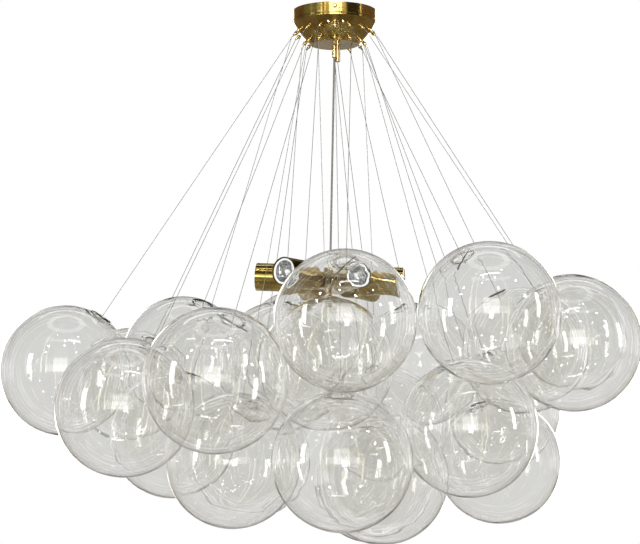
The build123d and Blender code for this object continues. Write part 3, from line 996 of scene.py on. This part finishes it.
    def dress(self) -> list[bpy.types.Object]:
        """Builds the wire and the toggle and puts them on their body.

        Returns:
            The two pieces.
        """
        pieces = []
        for mesh in (self.wire_mesh(), self.toggle_mesh()):
            piece = WIRE_STEEL.wear(new_piece(mesh.name, mesh))
            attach(piece, self.body)
            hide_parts(self.node)
            pieces.append(piece)
        return pieces


@dataclass
class SupplyCable:
    """The cable that carries the lamp unit, pulled straight by its weight.

    Attributes:
        radius: the cable's radius.
        roundness: the steps round a quarter of the cable, as the curve counts them.
        stations: where the curve's points lie, as shares of its length.
    """

    radius: float = 2.0 * MM
    roundness: int = 5
    stations: tuple[float, ...] = (0.0, 0.33, 0.67, 1.0)

    def dress(self) -> bpy.types.Object:
        """Returns:
            The piece.
        """
        turn = joint_named("lamp_unit_turn")
        axis, origin = Vector(turn["axis"]).normalized(), Vector(turn["pos_m"])
        heights, _ = along(node_points("supply_cable"), origin, axis)
        top, foot = origin + axis * float(heights.max()), origin + axis * float(heights.min())
        curve = bpy.data.curves.new("supply_cable_sheath", "CURVE")
        curve.dimensions = "3D"
        curve.bevel_depth = self.radius
        curve.bevel_resolution = self.roundness
        curve.use_fill_caps = True
        spline = curve.splines.new("NURBS")
        spline.points.add(len(self.stations) - 1)
        for point, share in zip(spline.points, self.stations):
            point.co = (*top.lerp(foot, share), 1.0)
        spline.order_u = 3
        spline.use_endpoint_u = True
        piece = bpy.data.objects.new("supply_cable_sheath", curve)
        bpy.context.scene.collection.objects.link(piece)
        curve.materials.append(SHEATH.material())
        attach(piece, "root")
        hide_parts("supply_cable")
        return piece


# ---------------------------------------------------------------- the lamps


# The lens from the middle of its back round to the middle of its front: the radius as a share of its edge,
# and the depth in millimetres.
LENS_SECTION = ((0.0, 1.4), (1.0, 1.4), (1.0, 0.8), (0.85, 0.5), (0.62, 0.25), (0.3, 0.0), (0.0, 0.0))
LENS_SIDES = 12


@dataclass
class SpotLamp:
    """One reflector lamp: body, ring, faceted mirror, capsule, lens and pins.

    Attributes:
        number: the lamp's number.
        radius: the radius of its rim.
        length: from its face to the back of its base.
        base_r: the base's radius.
        base: the base's length.
        rim: the rim's height.
        ring: the width of the pale ring round the lens, from the rim's outside.
        ring_low: how deep the ring reaches.
        ring_edge: how far down its outer rounding goes.
        ring_top: how deep its top lies.
        ring_bevel: the width of its inner bevel.
        recess: how deep the lens lies.
        lens_under: how far the lens reaches under the ring.
        wall: the thickness of the rim, and the rounding of the base.
        edge: the rounding of the rim and of the pins.
        rim_in: how far the rim reaches down on its inside.
        sides: steps round the body and the ring.
        bell_in: how far the bell starts inside the rim's outside.
        bulge: how much the bell bulges, as a share of its height.
        bell_steps: steps down the bell.
        facets: steps round the mirror.
        bowl: the mirror's depth.
        bowl_steps: steps down the mirror.
        bowl_narrow: how much narrower the mirror's bottom is, as a share.
        bowl_round: how far the mirror's section follows a quarter of a circle, in radians.
        bowl_gap: how far behind the lens the mirror starts.
        capsule: the capsule's radius.
        capsule_deep: how far behind the lens the capsule's dome starts.
        capsule_long: how far its straight side reaches from there.
        capsule_sides: steps round the capsule.
        dome_steps: steps up its dome.
        pin_r: the radius of a pin's head.
        pin_space: the distance between the pins.
        pin_head: the height of a pin's head.
        pin_neck: the radius of a pin's neck, as a share of its head's.
        pin_slope: the height of the slope between the two.
        pin_sunk: how far a pin reaches into the base.
        pin_sides: steps round a pin.
        pin_slice: the height in which the CAD mesh's points count as the ends of the pins.
        face: the middle of the lamp's face.
        way: the way that the lamp points.
        pin_way: the way from one pin to the other.
        back: how far the pins' ends lie behind the face.
    """

    number: int
    radius: float = 24.9 * MM
    length: float = 48.0 * MM
    base_r: float = 15.5 * MM
    base: float = 14.0 * MM
    rim: float = 6.0 * MM
    ring: float = 4.2 * MM
    ring_low: float = 2.4 * MM
    ring_edge: float = 0.35 * MM
    ring_top: float = 0.1 * MM
    ring_bevel: float = 0.4 * MM
    recess: float = 0.8 * MM
    lens_under: float = 0.3 * MM
    wall: float = 0.8 * MM
    edge: float = 0.3 * MM
    rim_in: float = 0.2 * MM
    sides: int = 64
    bell_in: float = 1.2 * MM
    bulge: float = 0.06
    bell_steps: int = 8
    facets: int = 16
    bowl: float = 15.0 * MM
    bowl_steps: int = 4
    bowl_narrow: float = 0.78
    bowl_round: float = 1.4
    bowl_gap: float = 1.6 * MM
    capsule: float = 4.2 * MM
    capsule_deep: float = 9.4 * MM
    capsule_long: float = 5.6 * MM
    capsule_sides: int = 24
    dome_steps: int = 6
    pin_r: float = 2.4 * MM
    pin_space: float = 10.0 * MM
    pin_head: float = 2.0 * MM
    pin_neck: float = 0.55
    pin_slope: float = 0.4 * MM
    pin_sunk: float = 0.2 * MM
    pin_sides: int = 20
    pin_slice: float = 0.5 * MM
    face: Vector = field(init=False)
    way: Vector = field(init=False)
    pin_way: Vector = field(init=False)
    back: float = field(init=False)

    def __post_init__(self) -> None:
        """Reads the lamp's place from its joint and its node; the pins are the points farthest back."""
        joint = joint_named(f"lamp_{self.number}_twist")
        self.way = Vector(joint["axis"]).normalized()
        origin = Vector(joint["pos_m"])
        heights, offsets = along(node_points(self.node), origin, self.way)
        self.face = origin + self.way * float(heights.max())
        self.back = float(heights.max() - heights.min())
        pins = heights < heights.min() + self.pin_slice
        far = np.linalg.norm(offsets[pins], axis=1).argmax()
        self.pin_way = Vector(offsets[pins][far]).normalized()

    @property
    def node(self) -> str:
        """The CAD node of the lamp."""
        return f"spot_lamp_{self.number}"

    def body_outline(self) -> list[Pair]:
        """Makes the section of the body; its near-black colour is painted shade for the shaded gap in the
        tube's mouth.

        Returns:
            Its points, from the rim's inside round the back.
        """
        rim, base = self.radius, self.base_r
        bell = self.length - self.base - self.rim
        outline = [(rim - self.wall, -self.rim_in), (rim - self.edge, 0.0), (rim, -self.edge)]
        outline.append((rim, -self.rim))
        for step in range(1, self.bell_steps + 1):
            share = step / self.bell_steps
            radius = base + (rim - self.bell_in - base) * math.cos(share * math.pi / 2)
            depth = share + math.sin(share * math.pi) * self.bulge
            outline.append((radius, -self.rim - bell * depth))
        outline += [(base, -self.length + self.wall), (base - self.wall, -self.length)]
        return outline + [(0.0, -self.length)]

    def mirror(self) -> Shape:
        """Makes the faceted bowl behind the lens, with every second ring turned by half a facet.

        Returns:
            Its points and faces.
        """
        edge, top = self.radius - self.ring, -self.recess - self.bowl_gap
        outline = []
        for step in range(self.bowl_steps + 1):
            share = step / self.bowl_steps
            depth = self.bowl * math.sin(share * self.bowl_round)
            outline.append((edge * (1 - self.bowl_narrow * share), top - depth))
        points, faces = lathe(outline, self.facets)
        angle = math.pi / self.facets
        turned = points.copy()
        for ring in range(1, self.bowl_steps + 1, 2):
            rows = slice(ring * self.facets, (ring + 1) * self.facets)
            turned[rows, 0] = points[rows, 0] * math.cos(angle) - points[rows, 1] * math.sin(angle)
            turned[rows, 1] = points[rows, 0] * math.sin(angle) + points[rows, 1] * math.cos(angle)
        return turned, faces

    def lens(self) -> Shape:
        """Makes the pressed lens: a flat back and a front of flat facets.

        Returns:
            Its points and faces.
        """
        edge = self.radius - self.ring + self.lens_under
        outline = [(edge * share, -self.recess - depth * MM) for share, depth in LENS_SECTION]
        return lathe(outline, LENS_SIDES)

    def ring_outline(self) -> list[Pair]:
        """Makes the section of the pale ring.

        Returns:
            Its points, all the way round.
        """
        outer, inner, low = self.radius - self.wall, self.radius - self.ring, -self.ring_low
        return [(inner, low), (outer, low), (outer, -self.ring_edge), (outer - self.edge, -self.ring_top),
                (inner + self.ring_bevel, -self.edge), (inner, -self.recess), (inner, low)]

    def capsule_outline(self) -> list[Pair]:
        """Makes the section of the small capsule in the bowl's middle.

        Returns:
            Its points, from the foot up to the top of the dome.
        """
        dome_low = -self.recess - self.capsule_deep
        low = dome_low - self.capsule_long
        dome = arc((0.0, dome_low), self.capsule, 0, 90, self.dome_steps)[:-1]
        return [(0.0, low), (self.capsule, low)] + dome + [(0.0, dome_low + self.capsule)]

    def pins(self) -> Shape:
        """Makes the two headed pins at the back.

        Returns:
            Their points and faces.
        """
        low, top = -self.back, -self.length + self.pin_sunk
        under, neck = low + self.pin_head, self.pin_neck * self.pin_r
        outline = [(0.0, low), (self.pin_r - self.edge, low), (self.pin_r, low + self.edge)]
        outline += [(self.pin_r, under), (neck, under + self.pin_slope), (neck, top), (0.0, top)]
        points, faces = lathe(outline, self.pin_sides)
        sides = []
        for side in (-1, 1):
            moved = points.copy()
            moved[:, 0] += side * self.pin_space / 2
            sides.append((moved, faces))
        return joined(sides)

    def dress(self) -> list[bpy.types.Object]:
        """Builds the lamp's pieces and puts them on its body.

        Returns:
            The pieces.
        """
        smooth, flat = Shading.SMOOTH, Shading.FLAT
        made = [
            # The body's near-black colour is painted shade for the shaded gap round the lamp's face.
            ("body", lathe(self.body_outline(), self.sides), LAMP_BODY_AND_PAINTED_SHADE, smooth),
            ("ring", lathe(self.ring_outline(), self.sides), LAMP_RING, smooth),
            ("mirror", self.mirror(), SILVERING, flat),
            ("capsule", lathe(self.capsule_outline(), self.capsule_sides), CERAMIC, smooth),
            ("lens", self.lens(), LENS_GLASS, flat),
            ("pins", self.pins(), ZINC, smooth),
        ]
        pieces = []
        for part, (points, faces), finish, shading in made:
            name = f"lamp_{self.number}_{part}"
            mesh = mesh_of(name, placed(points, self.face, self.way, self.pin_way), faces, shading)
            piece = finish.wear(new_piece(name, mesh))
            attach(piece, f"lamp_{self.number}")
            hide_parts(self.node)
            pieces.append(piece)
        return pieces


# ---------------------------------------------------------------- the metalwork


# Faces that meet at a larger angle than this keep a sharp edge between them.
EDGE_ANGLE = math.radians(28)


@dataclass
class Metalwork:
    """The CAD nodes that keep their shape, each with its finish.

    Attributes:
        finishes: the nodes of each finish.
    """

    finishes: dict[Finish, tuple[str, ...]]

    def dress(self) -> None:
        """Dresses every node, shades its round faces smooth and logs it."""
        for finish, nodes in self.finishes.items():
            for node in nodes:
                mesh = finish.wear(frame["nodes"][node]).data
                mesh.polygons.foreach_set("use_smooth", [True] * len(mesh.polygons))
                mesh.set_sharp_from_angle(angle=EDGE_ANGLE)
                log.info("dressed %s in %s", node, finish.title)


METALWORK = Metalwork({
    BRUSHED_BRASS: ("canopy_cover", "lamp_hub", "hub_base", "lamp_tubes"),
    POLISHED_BRASS: ("cable_grips", "cap_screws", "canopy_screws", "canopy_glands", "hub_gland",
                     "hub_finial", "tube_nipples"),
    ZINC: ("mounting_plate", "lock_nuts"),
    TERMINAL: ("canopy_terminal_block", "hub_terminal_block"),
    LEAD: ("lamp_leads",),
    CERAMIC: ("lamp_holders",),
})


# ---------------------------------------------------------------- the studio


# The point that the lamps face.
CLUSTER_MIDDLE = Vector((0.0, 0.0, -0.65))


@dataclass
class Softbox:
    """A lamp of the studio, which faces the middle of the cluster.

    Attributes:
        name: its name.
        place: where it stands.
        width: its width.
        height: its height.
        brightness: the radiance of its face.
        through_glass: whether it shows through glass.
    """

    name: str
    place: Vector
    width: float
    height: float
    brightness: float
    through_glass: bool = True

    def set_up(self) -> bpy.types.Object:
        """Makes the lamp.

        Returns:
            Its object.
        """
        lamp = bpy.data.lights.new(self.name, "AREA")
        lamp.shape = "RECTANGLE"
        lamp.size, lamp.size_y = self.width, self.height
        lamp.energy = self.brightness * math.pi * self.width * self.height
        stand = bpy.data.objects.new(self.name, lamp)
        stand.location = self.place
        stand.rotation_euler = (CLUSTER_MIDDLE - self.place).to_track_quat("-Z", "Y").to_euler()
        stand.visible_transmission = self.through_glass
        bpy.context.scene.collection.objects.link(stand)
        return stand


# The lamps: one by the camera, tall ones at the sides and a strip above. The one by the camera doesn't show
# through glass, where it would be a white patch from behind.
LARGE_LAMPS = (
    Softbox("by_camera", Vector((0.17, -4.0, -1.12)), 0.45, 0.62, 30.0, through_glass=False),
    Softbox("left_window", Vector((-3.2, -1.6, -0.2)), 0.5, 1.6, 9.0),
    Softbox("right_window", Vector((3.4, -0.9, -0.1)), 0.35, 1.6, 9.0),
    Softbox("ceiling_strip", Vector((0.2, -1.35, 1.13)), 0.9, 0.10, 8.0),
)
# Small lamps, by bearing and by height in degrees, in pairs one above the other.
SMALL_LAMPS = ((-9.0, 50.0), (-9.0, 40.0), (14.0, 48.0), (16.0, 30.0), (-40.0, 34.0), (-42.0, 24.0),
               (48.0, 38.0), (52.0, 18.0), (-22.0, -40.0), (30.0, -38.0), (-30.0, 58.0), (34.0, 60.0))
SMALL_LAMP_SIDE = 0.12
SMALL_LAMP_REACH = 2.2
SMALL_LAMP_BRIGHTNESS = 70.0

# The surround: what is seen past the pendant, what shows through glass, a little duller, and what lights it.
SEEN = (1.0, 1.0, 1.0)
BEHIND_GLASS = (0.75, 0.75, 0.74)
LIT = (0.7, 0.7, 0.7, 1.0)

# The room that the metal and the glass mirror. Bearings are in degrees, 0 at the front and rising to the
# right, and each stretch of wall goes on to the next one. Its colours are shown at ROOM_STRENGTH.
ROOM_STRENGTH = 6.0
BROWN = (0.034, 0.022, 0.015)
OLIVE = (0.036, 0.037, 0.023)
PALE = (0.6, 0.57, 0.42)
CREAM = (1.0, 0.98, 0.92)
GOLD = (0.16, 0.145, 0.09)
BACK = (0.06, 0.055, 0.05)
SHADE = (0.006, 0.005, 0.004)
METAL_WALLS = (
    (-180.0, BACK), (-166.0, PALE), (-156.0, BROWN), (-94.0, OLIVE), (-70.0, GOLD), (-68.5, OLIVE),
    (-38.5, PALE), (-36.0, OLIVE), (-29.0, PALE), (-26.5, GOLD), (-15.0, CREAM), (11.0, GOLD),
    (31.0, SHADE), (75.0, PALE), (76.5, BROWN), (156.0, PALE), (166.0, BACK),
)
# The floor of that room, by bearing too, and how high up the walls take over from it.
METAL_FLOOR = (
    (-180.0, (0.056, 0.052, 0.052)), (-150.0, (0.040, 0.034, 0.026)), (-60.0, (0.030, 0.025, 0.016)),
    (-9.0, (0.060, 0.053, 0.042)), (6.0, (0.030, 0.025, 0.016)), (60.0, (0.040, 0.034, 0.026)),
    (150.0, (0.056, 0.052, 0.052)),
)
FLOOR_EDGE = (-0.16, -0.06)
# How bright those walls are by the height of the way to them, from straight down to straight up.
METAL_HEIGHTS = ((-1.0, 1.0), (0.28, 1.0), (0.36, 0.08), (0.7, 0.045), (1.0, 0.01))
# A bright strip at eye level and two overhead, by the height of the way to them, and their reach to each
# side.
METAL_STRIPS = (
    (-1.0, 0.0), (-0.08, 0.45), (0.11, 0.0), (0.74, 0.30), (0.79, 0.0), (0.92, 0.30), (0.955, 0.0),
)
STRIP_REACH = 0.45
# The walls as they are mirrored by the inside of the glass, and by metal behind glass.
GREY = (0.045, 0.045, 0.038)
GLASS_WALLS = (
    (-180.0, GREY), (-70.0, PALE), (-68.0, GREY), (-38.5, PALE), (-36.5, GREY), (-29.0, PALE),
    (-27.5, GREY), (24.0, PALE), (26.0, GREY), (31.0, SHADE), (52.0, GREY), (75.0, PALE), (77.0, GREY),
)
# The backdrop's bright and dull rings, by the share of the way that leads straight back, where it starts, and
# its patches: their noise scale, and the noise and the share of light at which they are dull and bright.
BACKDROP_RINGS = (
    (-1.0, 0.20), (0.10, 0.32), (0.16, 0.11), (0.25, 0.36), (0.30, 0.12), (0.43, 0.38), (0.48, 0.13),
    (0.58, 0.40), (0.63, 0.15), (0.74, 0.34), (0.80, 0.17),
)
BACKDROP_START = 0.10
PATCH_SCALE = 2.6
PATCHES = ((0.36, (0.5, 0.5, 0.5)), (0.62, (1.0, 1.0, 1.0)))
# The floor's paper, by its grain, and the floor as it is mirrored.
PAPER = ((0.3, (0.86, 0.86, 0.85)), (0.7, (0.9, 0.9, 0.89)))
MIRRORED_FLOOR = (0.32, 0.30, 0.26, 1.0)


@dataclass
class Studio:
    """The pale floor, the room's light and the camera.

    Attributes:
        floor_z: the floor's height.
        floor_half: half the floor's side.
        fade: the distances at which the floor starts to fade into white and has faded.
        grain: the noise scale and the octaves of the floor's paper.
        eye: the camera's place.
        pitch: how far the camera looks up, in degrees.
        focus: the focal length in pixels of the photograph.
        photo_width: the photograph's width in pixels.
        sensor: the camera's sensor width in millimetres.
        far: how far the camera sees, in metres.
        through: how many faces of glass a ray goes through, and its bounces in all.
        mirrored: how many times a ray is mirrored.
        shadowed: how many faces of glass a shadow ray goes through.
    """

    floor_z: float = -2.2
    floor_half: float = 12.0
    fade: Pair = (1.2, 4.5)
    grain: Pair = (3.0, 4.0)
    eye: Vector = field(default_factory=lambda: Vector((-0.028, -3.7, -0.894)))
    pitch: float = 6.0
    focus: float = 1958.0
    photo_width: float = 640.0
    sensor: float = 36.0
    far: float = 100.0
    through: int = 48
    mirrored: int = 12
    shadowed: int = 96

    def floor(self) -> None:
        """Lays the floor, which fades into the white surround and is dull where it is mirrored."""
        half, low = self.floor_half, self.floor_z
        corners = [(-half, -half, low), (half, -half, low), (half, half, low), (-half, half, low)]
        piece = new_piece("studio_floor", mesh_of("studio_floor", np.array(corners), [(0, 1, 2, 3)]))
        made = bpy.data.materials.new("studio_floor")
        made.use_nodes = True
        graph = NodeGraph(made.node_tree)
        place = graph.place()
        paper = graph.add("BsdfDiffuse")
        graph.join(graph.ramp(graph.noise(place, *self.grain), PAPER), paper.inputs["Color"])
        white = graph.add("Emission")
        far = graph.add("VectorMath", operation="LENGTH")
        graph.join(graph.stretched(place, (1.0, 1.0, 0.0)), far.inputs[0])
        faded = self.rising(graph, far.outputs["Value"], self.fade)
        seen = self.mixed(graph, faded, paper.outputs["BSDF"], white.outputs["Emission"])
        dull = graph.add("Emission")
        dull.inputs["Color"].default_value = MIRRORED_FLOOR
        path = graph.add("LightPath")
        mirrored = graph.maths("GREATER_THAN", path.outputs["Glossy Depth"], 0.5)
        graph.finish(self.mixed(graph, mirrored, seen, dull.outputs["Emission"]))
        piece.data.materials.append(made)
        piece.visible_glossy = False

    def surround(self) -> None:
        """Sets the world: white where it is seen, duller behind glass, and where it is mirrored a room."""
        world = bpy.data.worlds.new("studio_surround")
        world.use_nodes = True
        world.cycles.sampling_method = "NONE"
        bpy.context.scene.world = world
        graph = NodeGraph(world.node_tree)
        path = graph.add("LightPath")
        through_glass = graph.maths("GREATER_THAN", path.outputs["Transmission Depth"], 0.5)
        mirrored = graph.add("Background")
        mirrored.inputs["Strength"].default_value = ROOM_STRENGTH
        room = graph.blend("MIX", through_glass, self.metal_room(graph), self.glass_room(graph))
        graph.join(room, mirrored.inputs["Color"])
        seen = graph.add("Background")
        backdrop = graph.ramp(through_glass, [(0.0, SEEN), (0.5, BEHIND_GLASS)], "CONSTANT")
        graph.join(backdrop, seen.inputs["Color"])
        lit = graph.add("Background")
        lit.inputs["Color"].default_value = LIT
        reflected = graph.maths("GREATER_THAN", path.outputs["Glossy Depth"], 0.5)
        scattered = graph.maths("GREATER_THAN", path.outputs["Diffuse Depth"], 0.5)
        shown = self.mixed(graph, reflected, seen.outputs["Background"], mirrored.outputs["Background"])
        shown = self.mixed(graph, scattered, shown, lit.outputs["Background"])
        graph.join(shown, graph.add("OutputWorld").inputs["Surface"])

    def mixed(self, graph: NodeGraph, factor: object, first: object, second: object) -> object:
        """Adds a Mix Shader node.

        Args:
            graph: the tree.
            factor: the share of the second shader, a socket.
            first: the first shader's socket.
            second: the second shader's socket.

        Returns:
            The shader socket.
        """
        mix = graph.add("MixShader")
        for socket, source in zip(mix.inputs, (factor, first, second)):
            graph.join(source, socket)
        return mix.outputs["Shader"]

    def rising(self, graph: NodeGraph, value: object, edges: Pair) -> object:
        """Adds a smooth rise from 0 to 1.

        Args:
            graph: the tree.
            value: the socket that is read.
            edges: the values at which the rise starts and ends.

        Returns:
            The factor socket.
        """
        rise = graph.add("MapRange", interpolation_type="SMOOTHSTEP")
        rise.inputs["From Min"].default_value, rise.inputs["From Max"].default_value = edges
        graph.join(value, rise.inputs["Value"])
        return rise.outputs["Result"]

    def way(self, graph: NodeGraph) -> dict[str, object]:
        """Adds the nodes that give the way a ray leaves by.

        Args:
            graph: the world's tree.

        Returns:
            The sockets of its X, Y and Z, and of its bearing as a share of a turn, with 0.5 at the front.
        """
        split = graph.add("SeparateXYZ")
        graph.join(graph.add("TexCoord").outputs["Generated"], split.inputs["Vector"])
        towards_front = graph.maths("MULTIPLY", split.outputs["Y"], -1.0)
        bearing = graph.maths("ARCTAN2", split.outputs["X"], towards_front)
        turn = graph.maths("MULTIPLY_ADD", bearing, 1 / FULL_TURN, 0.5)
        return {"X": split.outputs["X"], "Y": split.outputs["Y"], "Z": split.outputs["Z"], "turn": turn}

    def by_bearing(self, graph: NodeGraph, turn: object, walls: Sequence[tuple[float, Colour]]) -> object:
        """Colours the walls by bearing.

        Args:
            graph: the world's tree.
            turn: the socket of the bearing as a share of a turn.
            walls: the bearing in degrees where each stretch of wall starts, and its colour.

        Returns:
            The colour socket.
        """
        return graph.ramp(turn, [(0.5 + degrees / 360, colour) for degrees, colour in walls], "CONSTANT")

    def by_share(self, graph: NodeGraph, share: object, levels: Outline, steps: str) -> object:
        """Makes a grey that depends on a share.

        Args:
            graph: the world's tree.
            share: a socket between -1 and 1.
            levels: pairs of a share and the grey there.
            steps: how the grey goes from one share to the next.

        Returns:
            The colour socket.
        """
        stops = [((at + 1) / 2, (level, level, level)) for at, level in levels]
        return graph.ramp(graph.maths("MULTIPLY_ADD", share, 0.5, 0.5), stops, steps)

    def metal_room(self, graph: NodeGraph) -> object:
        """Makes the room as bare metal and the outside of the glass mirror it.

        Args:
            graph: the world's tree.

        Returns:
            The colour socket.
        """
        way = self.way(graph)
        heights = self.by_share(graph, way["Z"], METAL_HEIGHTS, "LINEAR")
        walls = graph.blend("MULTIPLY", 1.0, self.by_bearing(graph, way["turn"], METAL_WALLS), heights)
        above = self.rising(graph, way["Z"], FLOOR_EDGE)
        room = graph.blend("MIX", above, self.by_bearing(graph, way["turn"], METAL_FLOOR), walls)
        near = graph.maths("LESS_THAN", graph.maths("ABSOLUTE", way["X"]), STRIP_REACH)
        strips = self.by_share(graph, way["Z"], METAL_STRIPS, "CONSTANT")
        return graph.blend("ADD", near, room, strips)

    def glass_room(self, graph: NodeGraph) -> object:
        """Makes the room as the inside of the glass, and what is behind glass, mirror it.

        Args:
            graph: the world's tree.

        Returns:
            The colour socket.
        """
        way = self.way(graph)
        walls = self.by_bearing(graph, way["turn"], GLASS_WALLS)
        rings = self.by_share(graph, way["Y"], BACKDROP_RINGS, "CONSTANT")
        patches = graph.noise(graph.add("TexCoord").outputs["Generated"], PATCH_SCALE)
        backdrop = graph.blend("MULTIPLY", 1.0, rings, graph.ramp(patches, PATCHES))
        behind = graph.maths("GREATER_THAN", way["Y"], BACKDROP_START)
        return graph.blend("MIX", behind, walls, backdrop)

    def lamps(self) -> None:
        """Sets up the large lamps and the small ones round the cluster."""
        for lamp in LARGE_LAMPS:
            lamp.set_up()
        for index, (bearing, height) in enumerate(SMALL_LAMPS, 1):
            turn = math.radians(bearing)
            away = Vector((math.sin(turn), -math.cos(turn), math.tan(math.radians(height))))
            place = CLUSTER_MIDDLE + away * SMALL_LAMP_REACH
            Softbox(f"small_spot_{index}", place, SMALL_LAMP_SIDE, SMALL_LAMP_SIDE,
                    SMALL_LAMP_BRIGHTNESS).set_up()

    def camera(self) -> None:
        """Sets the camera where the photograph was taken."""
        lens = bpy.data.cameras.new("camera")
        lens.sensor_width = self.sensor
        lens.lens = self.sensor * self.focus / self.photo_width
        lens.clip_end = self.far
        stand = bpy.data.objects.new("camera", lens)
        stand.location = self.eye
        stand.rotation_euler = (math.radians(90 + self.pitch), 0.0, 0.0)
        bpy.context.scene.collection.objects.link(stand)
        bpy.context.scene.camera = stand

    def set_up(self) -> None:
        """Makes the whole studio and sets how far light is followed through the glass."""
        self.camera()
        self.floor()
        self.surround()
        self.lamps()
        scene = bpy.context.scene
        scene.view_settings.view_transform = "Standard"
        scene.cycles.max_bounces = self.through
        scene.cycles.transmission_bounces = self.through
        scene.cycles.glossy_bounces = self.mirrored
        scene.cycles.transparent_max_bounces = self.shadowed


# ---------------------------------------------------------------- the whole


def joint_named(name: str) -> dict:
    """Returns the joint of the record that has this name."""
    return next(joint for joint in frame["joints"] if joint["name"] == name)


def globe_joints() -> list[tuple[int, dict]]:
    """Finds the joint of each globe.

    Returns:
        Each globe's number with its joint, in the globes' order.
    """
    found = [(int(joint["name"].split("_")[1]), joint) for joint in frame["joints"]
             if joint["name"].startswith("globe_")]
    return sorted(found, key=lambda pair: pair[0])


def main() -> None:
    """Dresses the pendant and sets up its studio."""
    logging.basicConfig(level=logging.INFO, format="%(message)s")
    METALWORK.dress()
    for number, joint in globe_joints():
        globe = Globe(number, joint)
        globe.dress()
        Hanger(globe).dress()
        log.info("globe %02d with its wire and toggle", number)
    SupplyCable().dress()
    for number in range(1, LAMP_COUNT + 1):
        SpotLamp(number).dress()
        log.info("spot lamp %d", number)
    Studio().set_up()


if __name__ == "__main__":
    main()
